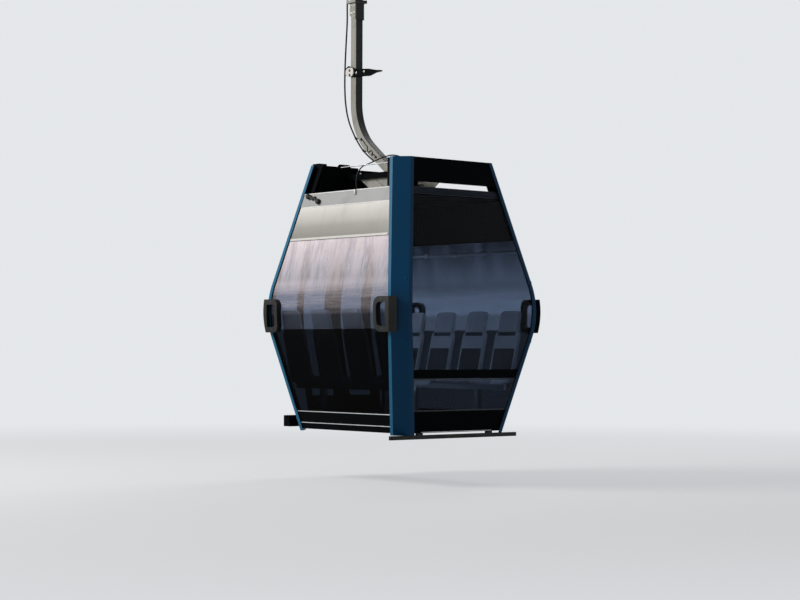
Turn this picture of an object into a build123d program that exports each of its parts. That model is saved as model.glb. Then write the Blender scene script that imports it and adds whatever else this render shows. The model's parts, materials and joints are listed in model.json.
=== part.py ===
"""Eight-seat cable car cabin on its hanger arm, with the grip that holds it to the rope.

Millimetres. The origin is on the axis of the rope, in the middle of the grip's jaw. +X runs along
the rope, +Y points to the door side, +Z points up. Heights are measured from the feet of the
corner posts, and up() turns them into Z. Insets are measured from the cabin's outer faces.
"""
import os
from functools import cache
from math import radians, sqrt, tan

from build123d import *

os.makedirs("parts", exist_ok=True)

# Where the cabin hangs, and the gaps between neighbours and round what moves
ROPE_HEIGHT = 4680
JOINT_GAP = 0.5
MOVE_GAP = 5
GLIDE = 0.3

# Leaning walls of the cabin: half widths along the rope and across it
TOP_HEIGHT = 2492
WAIST_HEIGHT = 1119
TOP_X, WAIST_X, FOOT_X = 607, 910, 660
TOP_Y, WAIST_Y, FOOT_Y = 712, 1050, 792
WAIST_RADIUS = 1200
CORNER_RADIUS = 810
WALL_OVERRUN = 200

# Corner posts: how far the corner is cut back, and the flanges on both sides of that face
CORNER_CUT = 114
POST_RETURN = 40

# Roof and its edge, the fairings that stand over it, and the dark linings inside
ROOF_DROP = 272
ROOF_THICK = 62
ROOF_EDGE_HEIGHT = 124
ROOF_EDGE_INSET = 6
FAIRING_HEIGHT = 225
FAIRING_INSET = 6
FAIRING_THICK = 24
LINING_THICK = 12
ROOF_TOP = TOP_HEIGHT - ROOF_DROP
ROOF_FOOT = ROOF_TOP - ROOF_THICK

# Gussets behind the posts, over the roof
GUSSET_INSET = 45
GUSSET_DEPTH = 92

# End walls, from the sill to the roof, and the rubber seals beside the posts
GLASS_INSET = 12
GLASS_THICK = 8
SEAL_WIDTH = 16
END_SILL_TOP = 191
END_WINDOW_FOOT = 950
END_PANEL_HEIGHT = 319
END_PANEL_TOP = ROOF_TOP - ROOF_EDGE_HEIGHT
END_WINDOW_TOP = END_PANEL_TOP - END_PANEL_HEIGHT
END_PANEL_INSET = 8
END_PANEL_THICK = 18
END_LIP_HEIGHT = 20
END_LIP_INSET = 1

# Closed side wall
SIDE_SILL_TOP = 210
SIDE_RAIL_FOOT = 505
SIDE_RAIL_TOP = 585
SIDE_GLASS_TOP = ROOF_TOP
SIDE_RAIL_INSET = 6
SIDE_RAIL_THICK = 34

# Sill frame and floor
SILL_FOOT = 20
SILL_INSET = 10
SILL_THICK = 50
DOOR_SILL_TOP = 95
SIDE_SILL_CUT = 600
FLOOR_FOOT = 40
FLOOR_TOP = 90

# Door opening and its frame
DOOR_HALF = 400
PORTAL_HEAD = 68
JAMB_WIDTH = 40
JAMB_INSET = 6
JAMB_THICK = 20
PORTAL_TOP = ROOF_TOP - 27

# Sliding leaves: outside the wall, meeting in the middle
LEAF_GAP = 5
LEAF_END = DOOR_HALF + 25
LEAF_FOOT = 142
LEAF_TOP = PORTAL_TOP + 7
LEAF_PROUD = 8
LEAF_THICK = 30
LEAF_INNER_STILE = 88
LEAF_OUTER_STILE = 60
LEAF_BOTTOM_RAIL = 178
LEAF_TOP_RAIL = 90
LEAF_GLASS_SET = 8

# Rail that the leaves hang on, and their hooked hangers
HANG_RAIL_FOOT = ROOF_TOP + 2
HANG_RAIL_HEIGHT = 30
HANG_RAIL_Y = 758
HANG_RAIL_THICK = 12
HANGER_X = 15
HANGER_LENGTH = 80
HANGER_PLATE = 12
HANGER_CAP = 7
HANGER_LIP = 20

# Sill rail under the leaves, and the shoes that run in its groove
SILL_RAIL_FOOT = 33
SILL_RAIL_TOP = 137
SILL_RAIL_HALF = 690
SILL_RAIL_OUT = 901
GROOVE_WIDTH = 14
GROOVE_DEPTH = 27
SHOE_THICK = 12

# Guide rail under the closed side
GUIDE_Y = -753
GUIDE_FOOT = -36
GUIDE_WIDTH = 34
GUIDE_HALF = 765
GUIDE_TIP = 15
GUIDE_BRACKET_X = 420
GUIDE_BRACKET_LENGTH = 60

# Rubber buffers at the waist, over the end glass and half of each corner post
BUFFER_FOOT = 919
BUFFER_TOP = 1230
BUFFER_PROUD = 40
BUFFER_Y = 710
BUFFER_HOLE_START = 748
BUFFER_HOLE_END = 873
BUFFER_BAR = 50
BUFFER_CORNER = 70
BUFFER_HOLE_CORNER = 40

# Seats: two rows of separate shells, facing each other
SEAT_COUNT = 4
SEAT_PITCH = 455
SEAT_WIDTH = 310
SEAT_BACK_INSET = 114
SEAT_SHELL = 34
SEAT_CORNER = 45
SEAT_EDGE = 25
SEAT_BEND = 60
SEAT_FRONT_X = 370
SEAT_PAN_TOP = 505
SEAT_PAN_THICK = 60
SEAT_BACK_TOP = 930
HEAD_FOOT = 890
HEAD_TOP = 1125
HEAD_WIDTH = 250
SEAT_BEAM_X = 560
SEAT_BEAM_SIZE = 50

# Grab rails over the seats
GRAB_HEIGHT = 1670
GRAB_X = 690
GRAB_RADIUS = 13
KNOB_RADIUS = 24
KNOB_LENGTH = 60
KNOB_PITCH = 420

# Roof frame under the arm, and the rubber dampers between them
BASE_FOOT = ROOF_TOP + GLIDE
BASE_TOP = ROOF_TOP + 138
BASE_HALF_X = 250
BASE_HALF_Y = 210
BASE_SIDE_TOP_Y = 300
BASE_SIDE_FOOT_Y = 100
BASE_PLATE = 12
BASE_SLOT = 8
BASE_SLOT_Y = 87
DAMPER_RADIUS = 35
DAMPER_SPREAD = 100
BEAM_X = 250
BEAM_WIDTH = 60
BEAM_HEIGHT = 50

# Hanger arm: a box section from the roof, round a bend and up beside the rope
ARM_Y = 676
ARM_FOOT_HEIGHT = ROOF_TOP + 112
ARM_LEAN = 38
ARM_BEND = 570
ARM_WIDTH = 84
ARM_DEPTH = 88
ARM_CORNER = 10
ARM_FOOT_SIZE = 160
ARM_FOOT_FLANGE = 300
ARM_FLANGE_TOP = ROOF_TOP + 88
ARM_FOOT_TOP = ROOF_TOP + 210

# Cables: along the arm by shares of its length and distances from its middle, then beside the
# hanger's head, and from the arm's foot down to the roof by heights over it
ARM_CABLE_RADIUS = 8
ARM_CABLE_X = -34
HEAD_CABLE_ROUTE = ((61, 4420), (89, 4300), (110, 4124))
ARM_CABLE_ROUTE = (
    (0.962, 105), (0.864, 121), (0.763, 136), (0.656, 143), (0.572, 134), (0.507, 111),
    (0.455, 90), (0.395, 71), (0.337, 65), (0.285, 64), (0.221, 52.3),
)
ROOF_CABLE_RADIUS = 6
ROOF_CABLE_ROUTE = (
    (0, -60, 210.3), (0, -60, 280), (-24, -16, 352), (-60, 68, 372), (-120, 150, 344), (-206, 196, 296),
    (-288, 238, 258), (-320, 262, 192), (-331, 268, 120), (-330, 262, 46), (-332, 264, 0.3),
)
CABLE_BEND_SHARE = 0.45

# Sleeve that joins the arm to the hanger's head, cut aslant at its foot, with a flange on top
COLLAR_FOOT = 3939
COLLAR_SLANT = 52
COLLAR_TOP = 4106
COLLAR_WALL = 14
COLLAR_FLANGE = 24
COLLAR_FLANGE_WALL = 34

# Bracket half way up the arm: its outline from the arm's middle, and the pad bolted to it
BRACKET_HEIGHT = 3430
BRACKET_OUTLINE = (
    (114, -20), (114, 50), (64, 73), (-56, 32), (-240, 14), (-346, -9),
    (-414, -17), (-414, -29), (-331, -32), (-236, -53), (-126, -46), (-16, -45),
)
BRACKET_THICK = 8
BRACKET_HORN_THICK = 30
PAD_PLACE = (36, 8)
PAD_SIZE = (118, 84)
PAD_CORNER = 38
PAD_THICK = 12

# Drive housing of the doors, behind the fairing, with its drum and its cap, and a stay
DRIVE_X = (-575, -120)
DRIVE_Y = (495, 678)
DRIVE_TOP = TOP_HEIGHT - 4
DRUM_PLACE = (-250, 552)
DRUM_TOP = TOP_HEIGHT + 27
DRUM_RADIUS = 43
DRUM_LENGTH = 100
CAP_X = (-520, -430)
CAP_Y = (588, 688)
CAP_HEIGHT = 24
STAY_X = -335
STAY_HEIGHT = TOP_HEIGHT - 11
STAY_RADIUS = 5

# Grip, from the rope's axis: jaws, lugs and lever
ROPE_RADIUS = 25
JAW_LENGTH = 260
JAW_LIP = 8
BODY_TOP_Z = 100
BODY_END_Y = 250
SPRING_SEAT_Z = 60
LUG_INNER_X = 62
LUG_THICK = 30
LUG_RADIUS = 24
JAW_PIN_Y = 60
JAW_PIN_Z = 150
JAW_PIN_RADIUS = 12
JAW_PIN_END = 4
LEVER_HALF_X = 55
LEVER_END_Y = 236
LEVER_FOOT_Z = 166
ROLLER_Z = 188
ROLLER_RADIUS = 26
ROLLER_WIDTH = 24
ROLLER_AXLE = 10
ROLLER_CAP = 5
SPRING_X = 28
SPRING_Y = 185
SPRING_RADIUS = 19
SPRING_WIRE = 4
SPRING_TURNS = 5

# Pivot shaft of the hanger, and the hanger's head on it
PIVOT_Z = -110
PIVOT_RADIUS = 35
PIVOT_CLEAR = 0.05
BOSS_RADIUS = 66
HUB_RADIUS = 72
HUB_START_Y = 262
HUB_END_Y = 402
PIVOT_CAP = 24
PIVOT_CAP_RADIUS = 44
HEAD_BEND = 170
HEAD_CORNER_Z = -400

# Running wheels and traction plate of the grip
WHEEL_X = 230
WHEEL_Y = 215
WHEEL_Z = 110
WHEEL_RADIUS = 62
WHEEL_WIDTH = 44
WHEEL_CHAMFER = 5
WHEEL_DISH = 8
WHEEL_DISH_RADIUS = 46
WHEEL_HUB_RADIUS = 27
WHEEL_ARM_Y = 150
WHEEL_ARM_THICK = 30
AXLE_RADIUS = 15
AXLE_CAP = 7
TRACTION_Z = 232
TRACTION_Y = 64
TRACTION_LENGTH = 540
TRACTION_WIDTH = 125
TRACTION_THICK = 12
TRACTION_CORNER = 20
TRACTION_POST = 18
TRACTION_POST_X = 112

BIG = 3000


def up(height):
    """Z of a height over the feet of the posts."""
    return height - ROPE_HEIGHT


def half_at(height, top, waist, foot):
    """Half width of a leaning wall at a height, before its waist is rounded."""
    if height > WAIST_HEIGHT:
        return waist + (top - waist) * (height - WAIST_HEIGHT) / (TOP_HEIGHT - WAIST_HEIGHT)
    return foot + (waist - foot) * height / WAIST_HEIGHT


def wall_pair(top, waist, foot, inset, radius):
    """Outline between two opposite leaning walls, rounded at the waist."""
    low, high = -WALL_OVERRUN, TOP_HEIGHT + WALL_OVERRUN
    side = [
        (half_at(low, top, waist, foot) - inset, up(low)),
        (waist - inset, up(WAIST_HEIGHT)),
        (half_at(high, top, waist, foot) - inset, up(high)),
    ]
    outline = Polygon(*side, *[(-x, z) for x, z in reversed(side)], align=None)
    ends = outline.vertices().group_by(Axis.X)
    fillet(ends[0] + ends[-1], radius)


CORNER_TOP, CORNER_WAIST, CORNER_FOOT = [
    (x + y) / sqrt(2) for x, y in ((TOP_X, TOP_Y), (WAIST_X, WAIST_Y), (FOOT_X, FOOT_Y))
]
CORNER_FACE = CORNER_CUT / sqrt(2)
POST_EDGE = (CORNER_CUT + POST_RETURN) / sqrt(2)
POST_INNER = POST_EDGE + JOINT_GAP
SEAL_EDGE = POST_INNER + SEAL_WIDTH / sqrt(2)
GLASS_EDGE = SEAL_EDGE + JOINT_GAP
ROOF_INSET = END_PANEL_INSET + END_PANEL_THICK + JOINT_GAP
ACROSS = [Plane(origin=(0, 0, 0), x_dir=(1, side, 0), z_dir=(side, -1, 0)) for side in (1, -1)]


@cache
def between_ends(inset):
    """All that lies between the end walls, set in from their outer faces."""
    with BuildPart() as body:
        with BuildSketch(Plane.XZ):
            wall_pair(TOP_X, WAIST_X, FOOT_X, inset, WAIST_RADIUS)
        extrude(amount=BIG, both=True)
    return body.part


@cache
def between_sides(inset):
    """All that lies between the side walls, set in from their outer faces."""
    with BuildPart() as body:
        with BuildSketch(Plane.YZ):
            wall_pair(TOP_Y, WAIST_Y, FOOT_Y, inset, WAIST_RADIUS)
        extrude(amount=BIG, both=True)
    return body.part


@cache
def between_corners(depth):
    """All that lies between the corners when these are cut back square to their diagonals."""
    with BuildPart() as body:
        for plane, mode in zip(ACROSS, (Mode.ADD, Mode.INTERSECT)):
            with BuildSketch(plane):
                wall_pair(CORNER_TOP, CORNER_WAIST, CORNER_FOOT, depth, CORNER_RADIUS)
            extrude(amount=BIG, both=True, mode=mode)
    return body.part


def cabin_body(inset, corner):
    """Start a piece as the whole cabin, set in from its walls and cut back at its corners."""
    add(between_ends(inset))
    add(between_sides(inset), mode=Mode.INTERSECT)
    add(between_corners(corner), mode=Mode.INTERSECT)


def end_wall(inset, thick, corner=POST_INNER):
    """Start a piece as a layer of the end walls, between the edges of the corner posts."""
    cabin_body(inset, corner)
    add(between_ends(inset + thick), mode=Mode.SUBTRACT)


def side_wall(inset, thick, corner=POST_INNER):
    """Start a piece as a layer of the side walls, between the edges of the corner posts."""
    cabin_body(inset, corner)
    add(between_sides(inset + thick), mode=Mode.SUBTRACT)


def block(x_range, y_range, heights, mode=Mode.ADD):
    """A box from its ranges along the rope, across it and in height."""
    ranges = x_range, y_range, [up(height) for height in heights]
    with Locations(tuple((low + high) / 2 for low, high in ranges)):
        Box(*(high - low for low, high in ranges), mode=mode)


ALL = (-BIG, BIG)
FRONT, REAR = (0, BIG), (-BIG, 0)
CLOSED_SIDE, DOOR_SIDE = (-BIG, 0), (0, BIG)
TURN_X = (0, 90, 0)
TURN_Y = (90, 0, 0)
ENDS = {"front": FRONT, "rear": REAR}
SIGNS = {"front": 1, "rear": -1}


def keep(x_range=ALL, y_range=ALL, heights=ALL):
    """Keep only what lies in these ranges."""
    block(x_range, y_range, heights, mode=Mode.INTERSECT)


def seated(low, high):
    """Heights of a piece that leaves half a joint to its neighbours."""
    return low + JOINT_GAP / 2, high - JOINT_GAP / 2


pieces = {}

# Corner posts
with BuildPart() as corner_posts:
    cabin_body(0, CORNER_FACE)
    add(between_corners(POST_EDGE), mode=Mode.SUBTRACT)
    keep(heights=(0, TOP_HEIGHT))
pieces["corner_posts"] = corner_posts

# End walls: cream panel with its lip, window and dark lower panel
END_ZONES = {
    "end_window": (END_WINDOW_FOOT, END_WINDOW_TOP),
    "end_lower_panel": (END_SILL_TOP, END_WINDOW_FOOT),
}
for end, x_range in ENDS.items():
    with BuildPart() as end_lip:
        end_wall(END_LIP_INSET, END_PANEL_INSET, GLASS_EDGE)
        keep(x_range, ALL, seated(END_WINDOW_TOP, END_WINDOW_TOP + END_LIP_HEIGHT))
    with BuildPart() as end_panel:
        end_wall(END_PANEL_INSET, END_PANEL_THICK, GLASS_EDGE)
        keep(x_range, ALL, seated(END_WINDOW_TOP, END_PANEL_TOP))
        add(end_lip.part)
    pieces[f"end_panel_{end}"] = end_panel
    for name, (low, high) in END_ZONES.items():
        with BuildPart() as end_glass:
            end_wall(GLASS_INSET, GLASS_THICK, GLASS_EDGE)
            keep(x_range, ALL, seated(low, high))
        pieces[f"{name}_{end}"] = end_glass

# Closed side wall: two panes with a rail between them
SIDE_ZONES = {
    "side_window": (GLASS_INSET, GLASS_THICK, SIDE_RAIL_TOP, SIDE_GLASS_TOP),
    "side_lower_glass": (GLASS_INSET, GLASS_THICK, SIDE_SILL_TOP, SIDE_RAIL_FOOT),
    "side_rail": (SIDE_RAIL_INSET, SIDE_RAIL_THICK, SIDE_RAIL_FOOT, SIDE_RAIL_TOP),
}
for name, (inset, thick, low, high) in SIDE_ZONES.items():
    with BuildPart() as side_piece:
        side_wall(inset, thick, GLASS_EDGE)
        keep(ALL, CLOSED_SIDE, seated(low, high))
    pieces[name] = side_piece

# Rubber seals between the posts and the glass
with BuildPart() as glazing_seals:
    end_wall(GLASS_INSET, GLASS_THICK)
    keep(heights=seated(END_SILL_TOP, END_PANEL_TOP))
for y_range, low, high in ((CLOSED_SIDE, SIDE_SILL_TOP, SIDE_GLASS_TOP), (DOOR_SIDE, DOOR_SILL_TOP, PORTAL_TOP)):
    with BuildPart() as side_seals:
        side_wall(GLASS_INSET, GLASS_THICK)
        keep(ALL, y_range, seated(low, high))
    with glazing_seals:
        add(side_seals.part)
with glazing_seals:
    add(between_corners(SEAL_EDGE), mode=Mode.SUBTRACT)
pieces["glazing_seals"] = glazing_seals

# Sill frame: a ring behind the posts' feet, lower under the doors, with the floor inside it
with BuildPart() as sill_inside:
    cabin_body(SILL_INSET + SILL_THICK, POST_INNER + SILL_THICK)
with BuildPart() as side_sill:
    side_wall(SILL_INSET, SILL_THICK)
    keep(ALL, CLOSED_SIDE, (END_SILL_TOP, SIDE_SILL_TOP))
with BuildPart() as sill_frame:
    cabin_body(SILL_INSET, POST_INNER)
    add(sill_inside.part, mode=Mode.SUBTRACT)
    keep(heights=(SILL_FOOT, END_SILL_TOP))
    block((-SIDE_SILL_CUT, SIDE_SILL_CUT), DOOR_SIDE, (DOOR_SILL_TOP, BIG), mode=Mode.SUBTRACT)
    add(side_sill.part)
pieces["sill_frame"] = sill_frame

with BuildPart() as floor:
    cabin_body(SILL_INSET + SILL_THICK + JOINT_GAP, POST_INNER + SILL_THICK + JOINT_GAP)
    keep(heights=(FLOOR_FOOT, FLOOR_TOP))
pieces["floor"] = floor

# Roof panel, turned down at both ends, and the fairings over the side walls
with BuildPart() as roof_edges:
    end_wall(ROOF_EDGE_INSET, ROOF_INSET - ROOF_EDGE_INSET)
    keep(heights=(END_PANEL_TOP, ROOF_TOP))
with BuildPart() as roof_panel:
    cabin_body(ROOF_INSET, POST_INNER)
    keep(heights=(ROOF_FOOT, ROOF_TOP))
    add(roof_edges.part)
pieces["roof_panel"] = roof_panel

with BuildPart() as end_linings:
    end_wall(ROOF_INSET, LINING_THICK)
    keep(heights=seated(END_WINDOW_TOP, ROOF_FOOT))
pieces["end_linings"] = end_linings

with BuildPart() as ceiling_lining:
    cabin_body(ROOF_INSET + LINING_THICK + JOINT_GAP, POST_INNER)
    keep(heights=(ROOF_FOOT - LINING_THICK, ROOF_FOOT - GLIDE))
pieces["ceiling_lining"] = ceiling_lining

with BuildPart() as side_fairings:
    side_wall(FAIRING_INSET, FAIRING_THICK)
    keep(heights=(TOP_HEIGHT - FAIRING_HEIGHT, TOP_HEIGHT))
pieces["side_fairings"] = side_fairings

with BuildPart() as corner_gussets:
    cabin_body(GUSSET_INSET, POST_INNER)
    add(between_corners(POST_INNER + GUSSET_DEPTH), mode=Mode.SUBTRACT)
    keep(heights=(ROOF_TOP + GLIDE, TOP_HEIGHT))
pieces["corner_gussets"] = corner_gussets

# Door side: portal, panes beside it, rails
with BuildPart() as door_portal:
    side_wall(JAMB_INSET, JAMB_THICK)
    keep((-DOOR_HALF - JAMB_WIDTH, DOOR_HALF + JAMB_WIDTH), DOOR_SIDE, (DOOR_SILL_TOP, PORTAL_TOP))
    block((-DOOR_HALF, DOOR_HALF), DOOR_SIDE, (0, PORTAL_TOP - PORTAL_HEAD), mode=Mode.SUBTRACT)
pieces["door_portal"] = door_portal

with BuildPart() as door_side_panes:
    side_wall(GLASS_INSET, GLASS_THICK, GLASS_EDGE)
    keep(ALL, DOOR_SIDE, (DOOR_SILL_TOP, PORTAL_TOP))
    pane_start = DOOR_HALF + JAMB_WIDTH + JOINT_GAP
    block((-pane_start, pane_start), DOOR_SIDE, (0, BIG), mode=Mode.SUBTRACT)
pieces["door_side_panes"] = door_side_panes

with BuildPart() as door_hang_rail:
    add(between_corners(POST_INNER))
    rail_y = (HANG_RAIL_Y, HANG_RAIL_Y + HANG_RAIL_THICK)
    keep(ALL, rail_y, (HANG_RAIL_FOOT, HANG_RAIL_FOOT + HANG_RAIL_HEIGHT))
pieces["door_hang_rail"] = door_hang_rail

LEAF_MIDDLE = half_at(LEAF_FOOT, TOP_Y, WAIST_Y, FOOT_Y) + LEAF_PROUD + LEAF_THICK / 2
with BuildPart() as door_sill_rail:
    block((-SILL_RAIL_HALF, SILL_RAIL_HALF), (FOOT_Y, SILL_RAIL_OUT), (SILL_RAIL_FOOT, SILL_RAIL_TOP))
    add(between_sides(-JOINT_GAP), mode=Mode.SUBTRACT)
    groove = (LEAF_MIDDLE - GROOVE_WIDTH / 2, LEAF_MIDDLE + GROOVE_WIDTH / 2)
    block(ALL, groove, (SILL_RAIL_TOP - GROOVE_DEPTH, BIG), mode=Mode.SUBTRACT)
pieces["door_sill_rail"] = door_sill_rail

# Sliding leaves: a frame that follows the bent wall, its pane, a hooked hanger and a shoe
HANGER_OUT = HANG_RAIL_Y + HANG_RAIL_THICK + MOVE_GAP + HANGER_PLATE
HANGER_IN = HANG_RAIL_Y - MOVE_GAP - HANGER_PLATE
CAP_FOOT = HANG_RAIL_FOOT + HANG_RAIL_HEIGHT + GLIDE
for end, sign in SIGNS.items():
    def span(start, stop):
        """A range along the rope, on this leaf's side of the middle."""
        return sorted((sign * start, sign * stop))

    with BuildPart() as leaf_pane:
        add(between_sides(LEAF_GLASS_SET - LEAF_PROUD - LEAF_THICK))
        add(between_sides(LEAF_GLASS_SET + GLASS_THICK - LEAF_PROUD - LEAF_THICK), mode=Mode.SUBTRACT)
        keep(
            span(LEAF_GAP / 2 + LEAF_INNER_STILE + JOINT_GAP, LEAF_END - LEAF_OUTER_STILE - JOINT_GAP),
            DOOR_SIDE,
            (LEAF_FOOT + LEAF_BOTTOM_RAIL + JOINT_GAP, LEAF_TOP - LEAF_TOP_RAIL - JOINT_GAP),
        )
    pieces[f"door_pane_{end}"] = leaf_pane

    with BuildPart() as leaf:
        add(between_sides(-LEAF_PROUD - LEAF_THICK))
        add(between_sides(-LEAF_PROUD), mode=Mode.SUBTRACT)
        keep(span(LEAF_GAP / 2, LEAF_END), DOOR_SIDE, (LEAF_FOOT, LEAF_TOP))
        block(
            span(LEAF_GAP / 2 + LEAF_INNER_STILE, LEAF_END - LEAF_OUTER_STILE),
            DOOR_SIDE,
            (LEAF_FOOT + LEAF_BOTTOM_RAIL, LEAF_TOP - LEAF_TOP_RAIL),
            mode=Mode.SUBTRACT,
        )
        along = span(HANGER_X, HANGER_X + HANGER_LENGTH)
        leaf_out = half_at(LEAF_TOP, TOP_Y, WAIST_Y, FOOT_Y) + LEAF_PROUD + LEAF_THICK
        block(along, (HANGER_OUT - HANGER_PLATE, leaf_out), (LEAF_TOP, LEAF_TOP + HANGER_CAP))
        block(along, (HANGER_OUT - HANGER_PLATE, HANGER_OUT), (LEAF_TOP, CAP_FOOT + HANGER_CAP))
        block(along, (HANGER_IN, HANGER_OUT), (CAP_FOOT, CAP_FOOT + HANGER_CAP))
        block(along, (HANGER_IN, HANGER_IN + HANGER_PLATE), (CAP_FOOT - HANGER_LIP, CAP_FOOT + HANGER_CAP))
        shoe = (LEAF_MIDDLE - SHOE_THICK / 2, LEAF_MIDDLE + SHOE_THICK / 2)
        block(along, shoe, (SILL_RAIL_TOP - GROOVE_DEPTH + GLIDE, LEAF_FOOT + HANGER_CAP))
    pieces[f"door_leaf_{end}"] = leaf

# Guide rail under the closed side
with BuildPart() as guide_rail:
    guide_y = (GUIDE_Y - GUIDE_WIDTH / 2, GUIDE_Y + GUIDE_WIDTH / 2)
    block((-GUIDE_HALF, GUIDE_HALF), guide_y, (GUIDE_FOOT, -GLIDE))
    fillet(guide_rail.edges().filter_by(Axis.Z), GUIDE_TIP)
    for x in (-GUIDE_BRACKET_X, GUIDE_BRACKET_X):
        block(
            (x - GUIDE_BRACKET_LENGTH / 2, x + GUIDE_BRACKET_LENGTH / 2), guide_y, (-GLIDE, SILL_FOOT)
        )
pieces["guide_rail"] = guide_rail

# Rubber buffers: a block over half of the post's face, and a loop over the end glass
with BuildPart() as post_skin:
    cabin_body(-GLIDE, CORNER_FACE - GLIDE)
    add(between_corners(POST_EDGE + GLIDE), mode=Mode.SUBTRACT)
with BuildPart() as buffer:
    cabin_body(-BUFFER_PROUD, CORNER_FACE - BUFFER_PROUD)
    add(between_ends(GLASS_INSET - GLIDE), mode=Mode.SUBTRACT)
    add(post_skin.part, mode=Mode.SUBTRACT)
    keep(FRONT)
    split(bisect_by=Plane(origin=(0, WAIST_Y - WAIST_X, 0), z_dir=(1, -1, 0)))
    with BuildSketch(Plane.YZ) as buffer_outline:
        Polygon(
            (BUFFER_Y, up(BUFFER_FOOT)), (WAIST_Y, up(BUFFER_FOOT)),
            (WAIST_Y, up(BUFFER_TOP)), (BUFFER_Y, up(BUFFER_TOP)), align=None,
        )
        fillet(buffer_outline.vertices().group_by(Axis.X)[0], BUFFER_CORNER)
    extrude(amount=BIG, mode=Mode.INTERSECT)
    with BuildSketch(Plane.YZ) as buffer_hole:
        hole_foot, hole_top = up(BUFFER_FOOT + BUFFER_BAR), up(BUFFER_TOP - BUFFER_BAR)
        Polygon(
            (BUFFER_HOLE_START, hole_foot), (BUFFER_HOLE_END, hole_foot),
            (BUFFER_HOLE_END, hole_top), (BUFFER_HOLE_START, hole_top), align=None,
        )
        fillet(buffer_hole.vertices().group_by(Axis.X)[0], BUFFER_HOLE_CORNER)
    extrude(amount=BIG, mode=Mode.SUBTRACT)
    mirror(about=Plane.XZ)
pieces["buffers_front"] = buffer
with BuildPart() as buffers_rear:
    add(mirror(buffer.part, about=Plane.YZ))
pieces["buffers_rear"] = buffers_rear


# Seats: shells on a beam with two legs
def seat_back(height):
    """Rear face of the seats' backs, which lean with the end wall."""
    return half_at(height, TOP_X, WAIST_X, FOOT_X) - SEAT_BACK_INSET


SEAT_FOOT = SEAT_PAN_TOP - SEAT_PAN_THICK
with BuildPart() as seat_head:
    with BuildSketch(Plane.XZ):
        Polygon(
            (seat_back(HEAD_FOOT), up(HEAD_FOOT)),
            (seat_back(HEAD_TOP), up(HEAD_TOP)),
            (seat_back(HEAD_TOP) - SEAT_SHELL, up(HEAD_TOP)),
            (seat_back(HEAD_FOOT) - SEAT_SHELL, up(HEAD_FOOT)),
            align=None,
        )
    extrude(amount=HEAD_WIDTH / 2, both=True)
    with BuildSketch(Plane.YZ):
        with Locations((0, up((HEAD_FOOT + HEAD_TOP) / 2))):
            RectangleRounded(HEAD_WIDTH, HEAD_TOP - HEAD_FOOT, SEAT_CORNER)
    extrude(amount=BIG, mode=Mode.INTERSECT)
with BuildPart() as seat:
    with BuildSketch(Plane.XZ) as seat_side:
        pan_end = (seat_back(SEAT_PAN_TOP) - SEAT_SHELL, up(SEAT_PAN_TOP))
        Polygon(
            (SEAT_FRONT_X, up(SEAT_FOOT)),
            (seat_back(SEAT_FOOT), up(SEAT_FOOT)),
            (seat_back(SEAT_BACK_TOP), up(SEAT_BACK_TOP)),
            (seat_back(SEAT_BACK_TOP) - SEAT_SHELL, up(SEAT_BACK_TOP)),
            pan_end,
            (SEAT_FRONT_X, up(SEAT_PAN_TOP)),
            align=None,
        )
        fillet(seat_side.vertices().sort_by_distance((*pan_end, 0))[0], SEAT_BEND)
        fillet(seat_side.vertices().group_by(Axis.X)[0], SEAT_EDGE)
    extrude(amount=SEAT_WIDTH / 2, both=True)
    with BuildSketch(Plane.YZ):
        with Locations((0, up((SEAT_FOOT + SEAT_BACK_TOP) / 2))):
            RectangleRounded(SEAT_WIDTH, SEAT_BACK_TOP - SEAT_FOOT, SEAT_CORNER)
    extrude(amount=BIG, mode=Mode.INTERSECT)
    add(seat_head.part)
with BuildPart() as seats_front:
    with GridLocations(0, SEAT_PITCH, 1, SEAT_COUNT):
        add(seat.part)
pieces["seats_front"] = seats_front
with BuildPart() as seats_rear:
    add(mirror(seats_front.part, about=Plane.YZ))
pieces["seats_rear"] = seats_rear

BEAM_TOP = SEAT_FOOT - GLIDE
with BuildPart() as seat_frames:
    beam_x = (SEAT_BEAM_X - SEAT_BEAM_SIZE / 2, SEAT_BEAM_X + SEAT_BEAM_SIZE / 2)
    beam_half = (SEAT_COUNT - 1) / 2 * SEAT_PITCH + SEAT_WIDTH / 2
    block(beam_x, (-beam_half, beam_half), (BEAM_TOP - SEAT_BEAM_SIZE, BEAM_TOP))
    for y in (-SEAT_PITCH, SEAT_PITCH):
        block(beam_x, (y - SEAT_BEAM_SIZE / 2, y + SEAT_BEAM_SIZE / 2), (FLOOR_TOP, BEAM_TOP - SEAT_BEAM_SIZE))
    mirror(about=Plane.YZ)
pieces["seat_frames"] = seat_frames

# Grab rails, with knobs, between the corner posts
with BuildPart() as grab_rails:
    with Locations(Location((GRAB_X, 0, up(GRAB_HEIGHT)), (90, 0, 0))):
        Cylinder(GRAB_RADIUS, 2 * WAIST_Y)
    for y in (-KNOB_PITCH, 0, KNOB_PITCH):
        with Locations(Location((GRAB_X, y, up(GRAB_HEIGHT)), (90, 0, 0))):
            Cylinder(KNOB_RADIUS, KNOB_LENGTH)
    add(between_corners(POST_INNER), mode=Mode.INTERSECT)
    mirror(about=Plane.YZ)
pieces["grab_rails"] = grab_rails

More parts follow.
